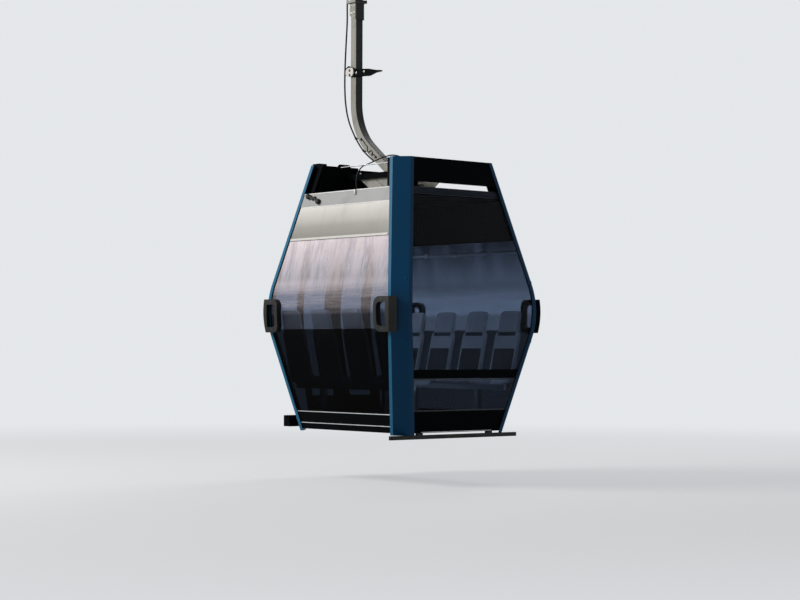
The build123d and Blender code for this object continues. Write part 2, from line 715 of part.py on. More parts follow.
# Hanger arm: a box section swept from its foot over the roof up beside the rope
with BuildPart() as hanger_arm:
    with BuildLine(Plane.YZ) as arm_line:
        FilletPolyline(
            (0, up(ARM_FOOT_HEIGHT)),
            (ARM_Y, up(ARM_FOOT_HEIGHT) + ARM_Y * tan(radians(ARM_LEAN))),
            (ARM_Y, up((COLLAR_FOOT + COLLAR_TOP) / 2)),
            radius=ARM_BEND,
        )
    with BuildSketch(Plane(origin=arm_line.line @ 0, x_dir=(1, 0, 0), z_dir=arm_line.line % 0)):
        RectangleRounded(ARM_WIDTH, ARM_DEPTH, ARM_CORNER)
    sweep(path=arm_line.line)
    half_foot = ARM_FOOT_SIZE / 2
    block((-half_foot, half_foot), (-half_foot, half_foot), (ARM_FLANGE_TOP, ARM_FOOT_TOP))
    half_flange = ARM_FOOT_FLANGE / 2
    block((-half_flange, half_flange), (-half_flange, half_flange), (ARM_FLANGE_TOP - BASE_PLATE, ARM_FLANGE_TOP))
pieces["hanger_arm"] = hanger_arm

# Hanger head: from the sleeve round a bend to the hub on the grip's pivot
HUB_MIDDLE = (HUB_START_Y + HUB_END_Y) / 2
with BuildPart() as hanger_head:
    with BuildLine(Plane.YZ) as head_line:
        FilletPolyline(
            (ARM_Y, up((COLLAR_FOOT + COLLAR_TOP) / 2) + JOINT_GAP),
            (ARM_Y, HEAD_CORNER_Z),
            (HUB_MIDDLE, PIVOT_Z - HUB_RADIUS),
            radius=HEAD_BEND,
        )
    with BuildSketch(Plane(origin=head_line.line @ 0, x_dir=(1, 0, 0), z_dir=head_line.line % 0)):
        RectangleRounded(ARM_WIDTH, ARM_DEPTH, ARM_CORNER)
    sweep(path=head_line.line)
    with Locations(Location((0, HUB_MIDDLE, PIVOT_Z), (90, 0, 0))):
        Cylinder(HUB_RADIUS, HUB_END_Y - HUB_START_Y)
        Cylinder(PIVOT_RADIUS + PIVOT_CLEAR, BIG, mode=Mode.SUBTRACT)
pieces["hanger_head"] = hanger_head

with BuildPart() as hanger_collar:
    with BuildSketch(Plane.XY.offset(up(COLLAR_FOOT))):
        with Locations((0, ARM_Y)):
            RectangleRounded(ARM_WIDTH + 2 * COLLAR_WALL, ARM_DEPTH + 2 * COLLAR_WALL, ARM_CORNER + COLLAR_WALL)
    extrude(amount=COLLAR_TOP - COLLAR_FOOT)
    with BuildSketch(Plane.XY.offset(up(COLLAR_TOP))):
        with Locations((0, ARM_Y)):
            RectangleRounded(
                ARM_WIDTH + 2 * COLLAR_FLANGE_WALL, ARM_DEPTH + 2 * COLLAR_FLANGE_WALL, ARM_CORNER + COLLAR_WALL
            )
    extrude(amount=COLLAR_FLANGE)
    with BuildSketch(Plane.XY.offset(up(COLLAR_FOOT))):
        with Locations((0, ARM_Y)):
            RectangleRounded(ARM_WIDTH + 2 * GLIDE, ARM_DEPTH + 2 * GLIDE, ARM_CORNER)
    extrude(amount=COLLAR_TOP + COLLAR_FLANGE - COLLAR_FOOT, mode=Mode.SUBTRACT)
    with BuildSketch(Plane.YZ):
        collar_side = ARM_DEPTH / 2 + COLLAR_WALL
        Polygon(
            (ARM_Y - collar_side, up(COLLAR_FOOT)),
            (ARM_Y + collar_side, up(COLLAR_FOOT)),
            (ARM_Y + collar_side, up(COLLAR_FOOT + COLLAR_SLANT)), align=None,
        )
    extrude(amount=ARM_WIDTH, both=True, mode=Mode.SUBTRACT)
pieces["hanger_collar"] = hanger_collar

# Bracket on the face of the arm, its horn as thick as needed, and the pad bolted to it
BRACKET_FACE_X = -ARM_WIDTH / 2 - GLIDE - BRACKET_THICK
with BuildPart() as hanger_bracket:
    with BuildSketch(Plane.YZ.offset(BRACKET_FACE_X)):
        Polygon(*[(ARM_Y + y, up(BRACKET_HEIGHT + rise)) for y, rise in BRACKET_OUTLINE], align=None)
    extrude(amount=BRACKET_HORN_THICK)
    behind = (BRACKET_FACE_X + BRACKET_THICK, BIG)
    block(behind, (ARM_Y - ARM_DEPTH / 2 - GLIDE, BIG), (0, ROPE_HEIGHT), mode=Mode.SUBTRACT)
pieces["hanger_bracket"] = hanger_bracket

with BuildPart() as bracket_pad:
    with BuildSketch(Plane.YZ.offset(BRACKET_FACE_X - GLIDE)):
        with Locations((ARM_Y + PAD_PLACE[0], up(BRACKET_HEIGHT + PAD_PLACE[1]))):
            RectangleRounded(*PAD_SIZE, PAD_CORNER)
    extrude(amount=-PAD_THICK)
pieces["bracket_pad"] = bracket_pad

# Roof frame under the arm, dampers, cross beams and the drive housing of the doors
with BuildPart() as hanger_base:
    for side in (-1, 1):
        with BuildSketch(Plane.YZ.offset(side * BASE_HALF_X)):
            Polygon(
                (-BASE_SIDE_FOOT_Y, up(BASE_FOOT)), (BASE_SIDE_FOOT_Y, up(BASE_FOOT)),
                (BASE_SIDE_TOP_Y, up(BASE_TOP)), (-BASE_SIDE_TOP_Y, up(BASE_TOP)), align=None,
            )
            slot_foot = BASE_SLOT_Y + BASE_SIDE_FOOT_Y - BASE_SIDE_TOP_Y
            Polygon(
                (slot_foot, up(BASE_FOOT + BASE_PLATE)), (slot_foot + BASE_SLOT, up(BASE_FOOT + BASE_PLATE)),
                (BASE_SLOT_Y + BASE_SLOT, up(BASE_TOP)), (BASE_SLOT_Y, up(BASE_TOP)), align=None,
                mode=Mode.SUBTRACT,
            )
        extrude(amount=-side * BASE_PLATE)
    block((-BASE_HALF_X, BASE_HALF_X), (-BASE_HALF_Y, BASE_HALF_Y), (BASE_FOOT, BASE_FOOT + BASE_PLATE))
pieces["hanger_base"] = hanger_base

with BuildPart() as roof_dampers:
    damper_foot = BASE_FOOT + BASE_PLATE + GLIDE
    damper_height = ARM_FLANGE_TOP - BASE_PLATE - GLIDE - damper_foot
    with Locations((0, 0, up(damper_foot + damper_height / 2))):
        with GridLocations(2 * DAMPER_SPREAD, 2 * DAMPER_SPREAD, 2, 2):
            Cylinder(DAMPER_RADIUS, damper_height)
pieces["roof_dampers"] = roof_dampers

with BuildPart() as roof_beams:
    add(between_sides(FAIRING_INSET + FAIRING_THICK + GLIDE))
    keep((BEAM_X - BEAM_WIDTH / 2, BEAM_X + BEAM_WIDTH / 2), ALL, (BASE_TOP + GLIDE, BASE_TOP + BEAM_HEIGHT))
    mirror(about=Plane.YZ)
pieces["roof_beams"] = roof_beams

with BuildPart() as door_drive:
    add(between_corners(POST_INNER + GUSSET_DEPTH + JOINT_GAP))
    keep(DRIVE_X, DRIVE_Y, (ROOF_TOP + GLIDE, DRIVE_TOP))
    beam_x = (-BEAM_X - BEAM_WIDTH / 2 - MOVE_GAP, -BEAM_X + BEAM_WIDTH / 2 + MOVE_GAP)
    block(beam_x, ALL, (BASE_TOP - MOVE_GAP, BASE_TOP + BEAM_HEIGHT + MOVE_GAP), mode=Mode.SUBTRACT)
    with Locations(Location((*DRUM_PLACE, up(DRUM_TOP - DRUM_RADIUS)), TURN_X)):
        Cylinder(DRUM_RADIUS, DRUM_LENGTH)
    block(CAP_X, CAP_Y, (TOP_HEIGHT + GLIDE, TOP_HEIGHT + CAP_HEIGHT))
pieces["door_drive"] = door_drive

with BuildPart() as stay_rod:
    add(between_sides(FAIRING_INSET + FAIRING_THICK + GLIDE))
    keep((STAY_X - STAY_RADIUS, STAY_X + STAY_RADIUS), (-BIG, DRIVE_Y[0] - GLIDE), ALL)
    with Locations(Location((STAY_X, 0, up(STAY_HEIGHT)), TURN_Y)):
        Cylinder(STAY_RADIUS, 2 * BIG, mode=Mode.INTERSECT)
pieces["stay_rod"] = stay_rod

# Cables along the arm and down to the roof: straight runs joined by the widest arcs that fit
def cable(points, radius):
    """A round cable along a route."""
    route = [Vector(*point) for point in points]
    bends = []
    for before, corner, after in zip(route, route[1:], route[2:]):
        first, second = corner - before, after - corner
        turn = radians(first.get_angle(second))
        bends.append(CABLE_BEND_SHARE * min(first.length, second.length) / tan(turn / 2))
    with BuildPart() as tube:
        with BuildLine() as line:
            FilletPolyline(*route, radius=bends)
        with BuildSketch(Plane(origin=line.line @ 0, z_dir=line.line % 0)):
            Circle(radius)
        sweep(path=line.line)
    length = sum(edge.length for edge in line.edges())
    print("cable", round(length), "mm long, tightest bend", round(min(bends)), "mm")
    return tube


arm_cable = [(ARM_CABLE_X, ARM_Y + y, up(height)) for y, height in HEAD_CABLE_ROUTE]
for share, stand_off in ARM_CABLE_ROUTE:
    middle, along = arm_line.line @ share, arm_line.line % share
    arm_cable.append((ARM_CABLE_X, middle.Y + along.Z * stand_off, middle.Z - along.Y * stand_off))
pieces["hanger_cable"] = cable(arm_cable, ARM_CABLE_RADIUS)
pieces["roof_cable"] = cable([(x, y, up(ROOF_TOP + rise)) for x, y, rise in ROOF_CABLE_ROUTE], ROOF_CABLE_RADIUS)

# Grip body: fixed jaw, pivot boss, lugs and pin of the moving jaw, arms and axles of the wheels
with BuildPart() as grip_body:
    with BuildSketch(Plane.YZ):
        Polygon(
            (-JAW_LIP, 20), (-JAW_LIP, 70), (24, BODY_TOP_Z), (110, BODY_TOP_Z), (120, SPRING_SEAT_Z),
            (BODY_END_Y, SPRING_SEAT_Z), (BODY_END_Y, PIVOT_Z - BOSS_RADIUS), (130, PIVOT_Z - BOSS_RADIUS),
            (70, -60), (30, -36), (18, -22), align=None,
        )
    extrude(amount=JAW_LENGTH / 2, both=True)
    for side in (-1, 1):
        with BuildSketch(Plane.YZ.offset(side * LUG_INNER_X)):
            with BuildLine():
                Polyline(
                    (JAW_PIN_Y - LUG_RADIUS, BODY_TOP_Z - LUG_RADIUS), (JAW_PIN_Y - LUG_RADIUS, JAW_PIN_Z),
                )
                RadiusArc((JAW_PIN_Y - LUG_RADIUS, JAW_PIN_Z), (JAW_PIN_Y + LUG_RADIUS, JAW_PIN_Z), LUG_RADIUS)
                Polyline(
                    (JAW_PIN_Y + LUG_RADIUS, JAW_PIN_Z), (JAW_PIN_Y + LUG_RADIUS, BODY_TOP_Z - LUG_RADIUS),
                    (JAW_PIN_Y - LUG_RADIUS, BODY_TOP_Z - LUG_RADIUS),
                )
            make_face()
        extrude(amount=side * LUG_THICK)
        with BuildSketch(Plane.XZ.offset(-WHEEL_ARM_Y)):
            Polygon(
                (side * (JAW_LENGTH / 2 - LUG_THICK), -20), (side * (JAW_LENGTH / 2 - LUG_THICK), SPRING_SEAT_Z),
                (side * (WHEEL_X - 20), WHEEL_Z + 24), (side * (WHEEL_X + 22), WHEEL_Z + 24),
                (side * (WHEEL_X + 22), WHEEL_Z - 26), align=None,
            )
        extrude(amount=-WHEEL_ARM_THICK)
        axle_start = WHEEL_ARM_Y + WHEEL_ARM_THICK
        axle_end = WHEEL_Y + WHEEL_WIDTH / 2 + MOVE_GAP + AXLE_CAP
        with Locations(Location((side * WHEEL_X, (axle_start + axle_end) / 2, WHEEL_Z), TURN_Y)):
            Cylinder(AXLE_RADIUS, axle_end - axle_start)
        with Locations(Location((side * WHEEL_X, axle_end - AXLE_CAP / 2, WHEEL_Z), TURN_Y)):
            Cylinder(AXLE_RADIUS + AXLE_CAP, AXLE_CAP)
    with Locations(Location((0, JAW_PIN_Y, JAW_PIN_Z), TURN_X)):
        Cylinder(JAW_PIN_RADIUS, 2 * (LUG_INNER_X + LUG_THICK) + 2 * JAW_PIN_END)
    with Locations(Location((0, 0, 0), TURN_X)):
        Cylinder(ROPE_RADIUS, BIG, mode=Mode.SUBTRACT)
pieces["grip_body"] = grip_body

with BuildPart() as grip_pivot:
    cap_start = HUB_END_Y + MOVE_GAP
    with Locations(Location((0, (BODY_END_Y + cap_start + PIVOT_CAP) / 2, PIVOT_Z), TURN_Y)):
        Cylinder(PIVOT_RADIUS, cap_start + PIVOT_CAP - BODY_END_Y)
    with Locations(Location((0, cap_start + PIVOT_CAP / 2, PIVOT_Z), TURN_Y)):
        Cylinder(PIVOT_CAP_RADIUS, PIVOT_CAP)
pieces["grip_pivot"] = grip_pivot

with BuildPart() as traction_plate:
    with BuildSketch(Plane.XY.offset(TRACTION_Z)):
        with Locations((0, TRACTION_Y)):
            RectangleRounded(TRACTION_LENGTH, TRACTION_WIDTH, TRACTION_CORNER)
    extrude(amount=TRACTION_THICK)
    with BuildSketch(Plane.XY.offset(BODY_TOP_Z)):
        with Locations((0, TRACTION_Y)):
            with GridLocations(2 * TRACTION_POST_X, 1, 2, 1):
                Rectangle(TRACTION_POST, 2 * TRACTION_POST)
    extrude(amount=TRACTION_Z - BODY_TOP_Z)
pieces["traction_plate"] = traction_plate

# Moving jaw with its lever, its roller, and the springs that close it
with BuildPart() as movable_jaw:
    with BuildSketch(Plane.YZ):
        Polygon(
            (-62, 110), (-62, -6), (-44, -38), (-18, -40), (-12, -23), (-JAW_LIP - MOVE_GAP, 20),
            (-JAW_LIP - MOVE_GAP, 95), (-24, 110), align=None,
        )
    extrude(amount=JAW_LENGTH / 2 - LUG_THICK / 2, both=True)
    with Locations(Location((0, 0, 0), TURN_X)):
        Cylinder(ROPE_RADIUS, BIG, mode=Mode.SUBTRACT)
    with BuildSketch(Plane.YZ):
        Polygon(
            (-62, 90), (-62, 125), (-32, 165), (30, 184), (90, 188), (LEVER_END_Y, ROLLER_Z + 20),
            (LEVER_END_Y, LEVER_FOOT_Z), (130, LEVER_FOOT_Z), (96, 136), (60, 124), (14, 124), (-20, 96), align=None,
        )
    extrude(amount=LEVER_HALF_X, both=True)
    with Locations(Location((0, JAW_PIN_Y, JAW_PIN_Z), TURN_X)):
        Cylinder(JAW_PIN_RADIUS + PIVOT_CLEAR, BIG, mode=Mode.SUBTRACT)
    stub_end = LEVER_END_Y + MOVE_GAP + ROLLER_WIDTH + MOVE_GAP
    with Locations(Location((0, (LEVER_END_Y + stub_end) / 2, ROLLER_Z), TURN_Y)):
        Cylinder(ROLLER_AXLE, stub_end - LEVER_END_Y)
    with Locations(Location((0, stub_end + ROLLER_CAP / 2, ROLLER_Z), TURN_Y)):
        Cylinder(ROLLER_AXLE + ROLLER_CAP, ROLLER_CAP)
pieces["movable_jaw"] = movable_jaw

with BuildPart() as jaw_roller:
    with Locations(Location((0, LEVER_END_Y + MOVE_GAP + ROLLER_WIDTH / 2, ROLLER_Z), TURN_Y)):
        Cylinder(ROLLER_RADIUS, ROLLER_WIDTH)
        Cylinder(ROLLER_AXLE + PIVOT_CLEAR, ROLLER_WIDTH, mode=Mode.SUBTRACT)
pieces["jaw_roller"] = jaw_roller

wire_low = SPRING_SEAT_Z + SPRING_WIRE + GLIDE
wire_rise = LEVER_FOOT_Z - SPRING_WIRE - GLIDE - wire_low
with BuildPart() as spring:
    with BuildLine() as coil:
        Helix(pitch=wire_rise / SPRING_TURNS, height=wire_rise, radius=SPRING_RADIUS)
    with BuildSketch(Plane(origin=coil.line @ 0, z_dir=coil.line % 0)):
        Circle(SPRING_WIRE)
    sweep(path=coil.line, is_frenet=True)
with BuildPart() as grip_springs:
    with Locations((-SPRING_X, SPRING_Y, wire_low), (SPRING_X, SPRING_Y, wire_low)):
        add(spring.part)
pieces["grip_springs"] = grip_springs

# Running wheels
for end, sign in SIGNS.items():
    with BuildPart() as running_wheel:
        with Locations(Location((sign * WHEEL_X, WHEEL_Y, WHEEL_Z), TURN_Y)):
            Cylinder(WHEEL_RADIUS, WHEEL_WIDTH)
            chamfer(running_wheel.edges().filter_by(GeomType.CIRCLE), WHEEL_CHAMFER)
            with Locations((0, 0, WHEEL_WIDTH / 2), (0, 0, -WHEEL_WIDTH / 2)):
                Cylinder(WHEEL_DISH_RADIUS, 2 * WHEEL_DISH, mode=Mode.SUBTRACT)
            Cylinder(WHEEL_HUB_RADIUS, WHEEL_WIDTH)
            Cylinder(AXLE_RADIUS + PIVOT_CLEAR, WHEEL_WIDTH, mode=Mode.SUBTRACT)
    pieces[f"running_wheel_{end}"] = running_wheel

for name, piece in pieces.items():
    piece.part.label = name
    export_step(piece.part, f"parts/{name}.step")
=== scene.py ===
"""Looks of the cable car cabin: finishes, fastenings, trim and the studio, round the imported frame. Metres."""
import json
from functools import cache
from math import cos, pi, radians, sin

import bmesh
import bpy
from mathutils import Matrix, Vector
from mathutils.bvhtree import BVHTree


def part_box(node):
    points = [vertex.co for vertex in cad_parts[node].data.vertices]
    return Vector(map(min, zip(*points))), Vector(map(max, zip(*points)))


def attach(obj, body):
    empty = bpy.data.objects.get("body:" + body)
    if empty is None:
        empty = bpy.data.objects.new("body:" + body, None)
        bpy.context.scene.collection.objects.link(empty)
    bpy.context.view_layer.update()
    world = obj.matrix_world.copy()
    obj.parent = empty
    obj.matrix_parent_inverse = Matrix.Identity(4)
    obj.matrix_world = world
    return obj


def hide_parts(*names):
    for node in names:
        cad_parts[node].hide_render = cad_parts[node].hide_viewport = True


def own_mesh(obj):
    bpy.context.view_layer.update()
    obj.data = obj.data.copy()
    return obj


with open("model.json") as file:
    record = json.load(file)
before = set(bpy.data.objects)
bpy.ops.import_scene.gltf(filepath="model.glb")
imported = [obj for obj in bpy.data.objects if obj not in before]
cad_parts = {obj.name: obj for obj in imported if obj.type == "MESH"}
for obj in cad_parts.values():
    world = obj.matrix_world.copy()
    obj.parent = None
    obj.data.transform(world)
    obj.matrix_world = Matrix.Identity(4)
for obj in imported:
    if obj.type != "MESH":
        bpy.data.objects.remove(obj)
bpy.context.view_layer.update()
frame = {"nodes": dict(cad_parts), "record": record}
node = frame["nodes"]

# Camera of the photograph: where it stood, what it looked along and how far it was rolled
CAMERA_PLACE = Vector((-11.518, -13.654, -3.905))
CAMERA_LOOK = Vector((0.64416, 0.76448, 0.02524))
CAMERA_ROLL = radians(0.184)
CAMERA_LENS = 85.85
SENSOR_WIDTH = 36
CAMERA_REACH = 200
PICTURE_WIDTH, PICTURE_HEIGHT = 800, 600

# Studio: a floor that fades into the background, a soft fill, a key light and a rim light
POST_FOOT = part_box("corner_posts")[0].z
FLOOR_DROP = 0.45
FLOOR_RADIUS = 60
FADE_START, FADE_END = 4.0, 14.0
FLOOR_GLOW = 0.62
BACKGROUND = (0.78, 0.80, 0.82, 1)
FLOOR_COLOUR = (0.74, 0.75, 0.76, 1)
FILL_STRENGTH = 0.13
KEY_PLACE = Vector((-8.5, 5.5, 3.0))
KEY_SIZE = 5.0
KEY_POWER = 1150
KEY_COLOUR = (1.0, 0.97, 0.93)
RIM_PLACE = Vector((7.0, 3.0, 2.5))
RIM_SIZE = 4.0
RIM_POWER = 320
LIGHT_AIM = Vector((0, 0, -3.2))

# Heights are counted from the feet of the corner posts, as in the part
ROPE_HEIGHT = 4.680

# Depth of the relief that a bump of full strength stands for
BUMP_DISTANCE = 0.001


def camera_axes():
    """The way the camera looks, and its right and up, rolled as the photograph is."""
    look = CAMERA_LOOK.normalized()
    right = look.cross(Vector((0, 0, 1))).normalized()
    up = right.cross(look)
    rolled_right = right * cos(CAMERA_ROLL) + up * sin(CAMERA_ROLL)
    rolled_up = up * cos(CAMERA_ROLL) - right * sin(CAMERA_ROLL)
    return look, rolled_right, rolled_up


def make_camera():
    """The camera of the photograph."""
    camera = bpy.data.objects.new("camera", bpy.data.cameras.new("camera"))
    bpy.context.scene.collection.objects.link(camera)
    look, right, up = camera_axes()
    turn = Matrix((right, up, -look)).transposed().to_4x4()
    camera.matrix_world = Matrix.Translation(CAMERA_PLACE) @ turn
    camera.data.lens = CAMERA_LENS
    camera.data.sensor_width = SENSOR_WIDTH
    camera.data.clip_end = CAMERA_REACH
    bpy.context.scene.camera = camera


def new_tree(owner):
    """The emptied node tree of a material or world."""
    owner.use_nodes = True
    owner.node_tree.nodes.clear()
    return owner.node_tree


def add_node(tree, kind, inputs=None, **settings):
    """A shader node with its settings; each input is a value or a socket to join it to."""
    made = tree.nodes.new(kind)
    for name, value in settings.items():
        setattr(made, name, value)
    for name, value in (inputs or {}).items():
        socket = made.inputs[name]
        if isinstance(value, bpy.types.NodeSocket):
            tree.links.new(value, socket)
        else:
            socket.default_value = value
    return made


def ramp(tree, value, *stops):
    """A ramp of greys whose stops are (position, level)."""
    made = add_node(tree, "ShaderNodeValToRGB", {"Fac": value})
    elements = made.color_ramp.elements
    while len(elements) < len(stops):
        elements.new(0.5)
    for element, (position, grey) in zip(elements, stops):
        element.position = position
        element.color = (grey, grey, grey, 1)
    return made.outputs["Color"]


def mix(tree, share, first, second):
    """Two colours mixed by a share."""
    return add_node(tree, "ShaderNodeMix", {0: share, 6: first, 7: second}, data_type="RGBA").outputs[2]


def maths(tree, how, *values, clamp=False):
    """One step of arithmetic on numbers or sockets."""
    made = add_node(tree, "ShaderNodeMath", dict(enumerate(values)), operation=how, use_clamp=clamp)
    return made.outputs[0]


def between_values(tree, value, low, high, **settings):
    """How far a value is on its way from one number to another, from 0 to 1."""
    limits = {"Value": value, "From Min": low, "From Max": high}
    return add_node(tree, "ShaderNodeMapRange", limits, **settings).outputs[0]


def noise(tree, place, scale, detail, **inputs):
    """Cloudy noise at a place."""
    values = {"Vector": place, "Scale": scale, "Detail": detail, **inputs}
    return add_node(tree, "ShaderNodeTexNoise", values).outputs["Fac"]


def facing(tree, axis):
    """How far a face looks along an axis of the part."""
    normal = add_node(tree, "ShaderNodeNewGeometry").outputs["Normal"]
    return add_node(tree, "ShaderNodeSeparateXYZ", {0: normal}).outputs[axis]


def effect_group(name, inputs, outputs):
    """A node group with named inputs (name: default) and outputs (names), and its two end nodes."""
    group = bpy.data.node_groups.new(name, "ShaderNodeTree")
    for label, default in inputs.items():
        socket = group.interface.new_socket(label, in_out="INPUT", socket_type="NodeSocketFloat")
        socket.default_value = default
    for label in outputs:
        group.interface.new_socket(label, in_out="OUTPUT", socket_type="NodeSocketFloat")
    return group, group.nodes.new("NodeGroupInput"), group.nodes.new("NodeGroupOutput")


def make_rain_streaks():
    """Water marks that run down a surface, broken up along their length, and dried drops in patches.

    The noise is drawn out downwards, on a plane that turns with the face, and only its peaks show.
    The drops are small cells of a coarse pattern.
    """
    inputs = {"Width": 60.0, "Length": 2.5, "Contrast": 0.5}
    group, start, end = effect_group("rain_streaks", inputs, ["Streaks", "Specks"])
    texture = add_node(group, "ShaderNodeTexCoord").outputs
    place = texture["Object"]
    spot = add_node(group, "ShaderNodeSeparateXYZ", {0: place}).outputs
    looks = add_node(group, "ShaderNodeSeparateXYZ", {0: texture["Normal"]}).outputs
    along = maths(group, "MULTIPLY", spot["X"], maths(group, "ABSOLUTE", looks["Y"]))
    across = maths(group, "MULTIPLY", spot["Y"], maths(group, "ABSOLUTE", looks["X"]))
    sideways = maths(group, "MULTIPLY", maths(group, "ADD", along, across), start.outputs["Width"])
    downward = maths(group, "MULTIPLY", spot["Z"], start.outputs["Length"])
    stretched = add_node(group, "ShaderNodeCombineXYZ", {"X": sideways, "Z": downward}).outputs[0]
    fine = noise(group, stretched, 1.0, 6.0, Roughness=0.65)
    broad = noise(group, stretched, 0.17, 3.0)
    both = maths(group, "MULTIPLY", fine, broad)
    low = maths(group, "SUBTRACT", 0.33, maths(group, "MULTIPLY", start.outputs["Contrast"], 0.2))
    streaks = between_values(group, both, low, 0.42, interpolation_type="SMOOTHSTEP")
    drops = add_node(group, "ShaderNodeTexVoronoi", {"Vector": place, "Scale": 30.0, "Randomness": 1.0})
    near = between_values(group, drops.outputs["Distance"], 0.22, 0.10)
    where = between_values(group, noise(group, place, 6.0, 4.0), 0.52, 0.66)
    specks = maths(group, "MULTIPLY", near, where)
    group.links.new(streaks, end.inputs["Streaks"])
    group.links.new(specks, end.inputs["Specks"])
    return group


def make_dirt():
    """Soft patches of dirt."""
    inputs = {"Scale": 3.0, "Cover": 0.5}
    group, start, end = effect_group("dirt", inputs, ["Dirt"])
    place = add_node(group, "ShaderNodeTexCoord").outputs["Object"]
    clouds = noise(group, place, start.outputs["Scale"], 8.0, Roughness=0.62)
    low = maths(group, "SUBTRACT", 0.78, maths(group, "MULTIPLY", start.outputs["Cover"], 0.5))
    patches = between_values(group, clouds, low, maths(group, "ADD", low, 0.28))
    group.links.new(patches, end.inputs["Dirt"])
    return group


def make_grain():
    """Height of a fine surface grain: orange peel on paint, moulding texture on rubber, casting skin."""
    inputs = {"Scale": 250.0, "Depth": 0.5}
    group, start, end = effect_group("grain", inputs, ["Height"])
    place = add_node(group, "ShaderNodeTexCoord").outputs["Object"]
    bumps = noise(group, place, start.outputs["Scale"], 3.0)
    height = maths(group, "MULTIPLY", bumps, start.outputs["Depth"])
    group.links.new(height, end.inputs["Height"])
    return group


rain_streaks = make_rain_streaks()
dirt = make_dirt()
grain = make_grain()


def place_group(tree, group, **values):
    """An effect in a material, with its own values."""
    made = tree.nodes.new("ShaderNodeGroup")
    made.node_tree = group
    for name, value in values.items():
        made.inputs[name].default_value = value
    return made.outputs


# Finishes by their name
surface = {}


def finish_surface(name, colour, roughness, height=None, bump=0.1, cover=1.0, **sockets):
    """A finish; its colour, roughness and cover are values, or functions of the tree that give a socket."""
    made = surface[name] = bpy.data.materials.new(name)
    tree = new_tree(made)
    shader = tree.nodes.new("ShaderNodeBsdfPrincipled")
    output = tree.nodes.new("ShaderNodeOutputMaterial")
    tree.links.new(shader.outputs[0], output.inputs["Surface"])
    for socket, value in (("Base Color", colour), ("Roughness", roughness), ("Alpha", cover)):
        if callable(value):
            tree.links.new(value(tree), shader.inputs[socket])
        else:
            shader.inputs[socket].default_value = value
    if height:
        relief = {"Height": height(tree), "Strength": bump, "Distance": BUMP_DISTANCE}
        tree.links.new(add_node(tree, "ShaderNodeBump", relief).outputs[0], shader.inputs["Normal"])
    for socket, value in sockets.items():
        shader.inputs[socket.replace("_", " ")].default_value = value


def dirty(colour, dirt_colour, scale, cover, share, streaks=0.0):
    """Colour of a surface with patches of dirt, and streaks where rain has run."""
    def colour_of(tree):
        marks = place_group(tree, dirt, Scale=scale, Cover=cover)
        amount = maths(tree, "MULTIPLY", marks["Dirt"], share)
        base = mix(tree, amount, colour, dirt_colour)
        if streaks:
            rain = place_group(tree, rain_streaks, Width=45.0, Length=1.6, Contrast=0.5)
            base = mix(tree, maths(tree, "MULTIPLY", rain["Streaks"], streaks), base, dirt_colour)
        return base
    return colour_of


def uneven(low, high, scale=6.0):
    """Roughness that wanders between two values."""
    def roughness_of(tree):
        marks = place_group(tree, dirt, Scale=scale, Cover=0.6)
        spread = add_node(tree, "ShaderNodeMapRange", {"Value": marks["Dirt"], "To Min": low, "To Max": high})
        return spread.outputs[0]
    return roughness_of


def grained(scale, depth=0.5):
    """Height of a fine grain."""
    def height_of(tree):
        return place_group(tree, grain, Scale=scale, Depth=depth)["Height"]
    return height_of


def level(tree, *stops):
    """A value that follows the height over the posts' feet, from stops of (height, value)."""
    place = add_node(tree, "ShaderNodeTexCoord").outputs["Object"]
    z = add_node(tree, "ShaderNodeSeparateXYZ", {0: place}).outputs["Z"]
    low, high = stops[0][0], stops[-1][0]
    share = between_values(tree, z, low - ROPE_HEIGHT, high - ROPE_HEIGHT)
    return ramp(tree, share, *(((height - low) / (high - low), value) for height, value in stops))


# Dust on the end windows, which also stands for a painted reflection of the sky: its runs of rain, and how
# thick it is at each height over the posts' feet
FILM_RUNS = {"Width": 48.0, "Length": 7.0, "Contrast": 0.8}
FILM_AND_REFLECTION_COVER = (
    (0.95, 0.52), (1.08, 0.50), (1.11, 0.10), (1.17, 0.10), (1.26, 0.17),
    (1.37, 0.60), (1.42, 0.56), (1.59, 0.78), (1.75, 0.97)
)


def film_and_reflection_colour(tree):
    """Dust and dried rain on the end windows, pale and pinkish with darker runs, which also paints the
    reflection of the bright sky; near black at the foot, as a painted dark reflection.
    """
    rain = place_group(tree, rain_streaks, **FILM_RUNS)
    marks = place_group(tree, dirt, Scale=2.6, Cover=0.6)
    runs = maths(tree, "MULTIPLY", rain["Streaks"], level(tree, (1.20, 0.0), (1.45, 0.38), (1.75, 0.20)))
    film = mix(tree, runs, (0.90, 0.81, 0.87, 1), (0.30, 0.29, 0.36, 1))
    film = mix(tree, maths(tree, "MULTIPLY", marks["Dirt"], 0.35), film, (0.60, 0.58, 0.60, 1))
    film = mix(tree, rain["Specks"], film, (1.0, 0.99, 0.98, 1))
    # Painted reflection: below the waist the film turns near black.
    return mix(tree, level(tree, (1.08, 0.0), (1.16, 1.0)), (0.02, 0.021, 0.028, 1), film)


def film_and_reflection_cover(tree):
    """The film is thick where the window leans up, as a painted reflection of the sky there, thins out round
    the waist and is scratched there.
    """
    rain = place_group(tree, rain_streaks, **FILM_RUNS)
    upper = maths(tree, "MULTIPLY", rain["Streaks"], level(tree, (1.20, 0.0), (1.45, 0.25)))
    wiped = maths(tree, "SUBTRACT", 1.0, upper)
    scratches = place_group(tree, rain_streaks, Width=4.0, Length=120.0, Contrast=1.0)
    where = level(tree, (1.00, 0.0), (1.13, 0.22), (1.28, 0.22), (1.42, 0.0))
    lines = maths(tree, "MULTIPLY", scratches["Streaks"], where)
    # Painted reflection: the cover by height follows where the leaning glass would mirror the bright sky.
    dust_and_reflection = maths(tree, "MULTIPLY", level(tree, *FILM_AND_REFLECTION_COVER), wiped)
    cover = maths(tree, "ADD", dust_and_reflection, lines, clamp=True)
    drops = maths(tree, "MULTIPLY", rain["Specks"], level(tree, (1.2, 0.0), (1.5, 0.9)))
    return maths(tree, "MAXIMUM", cover, drops)


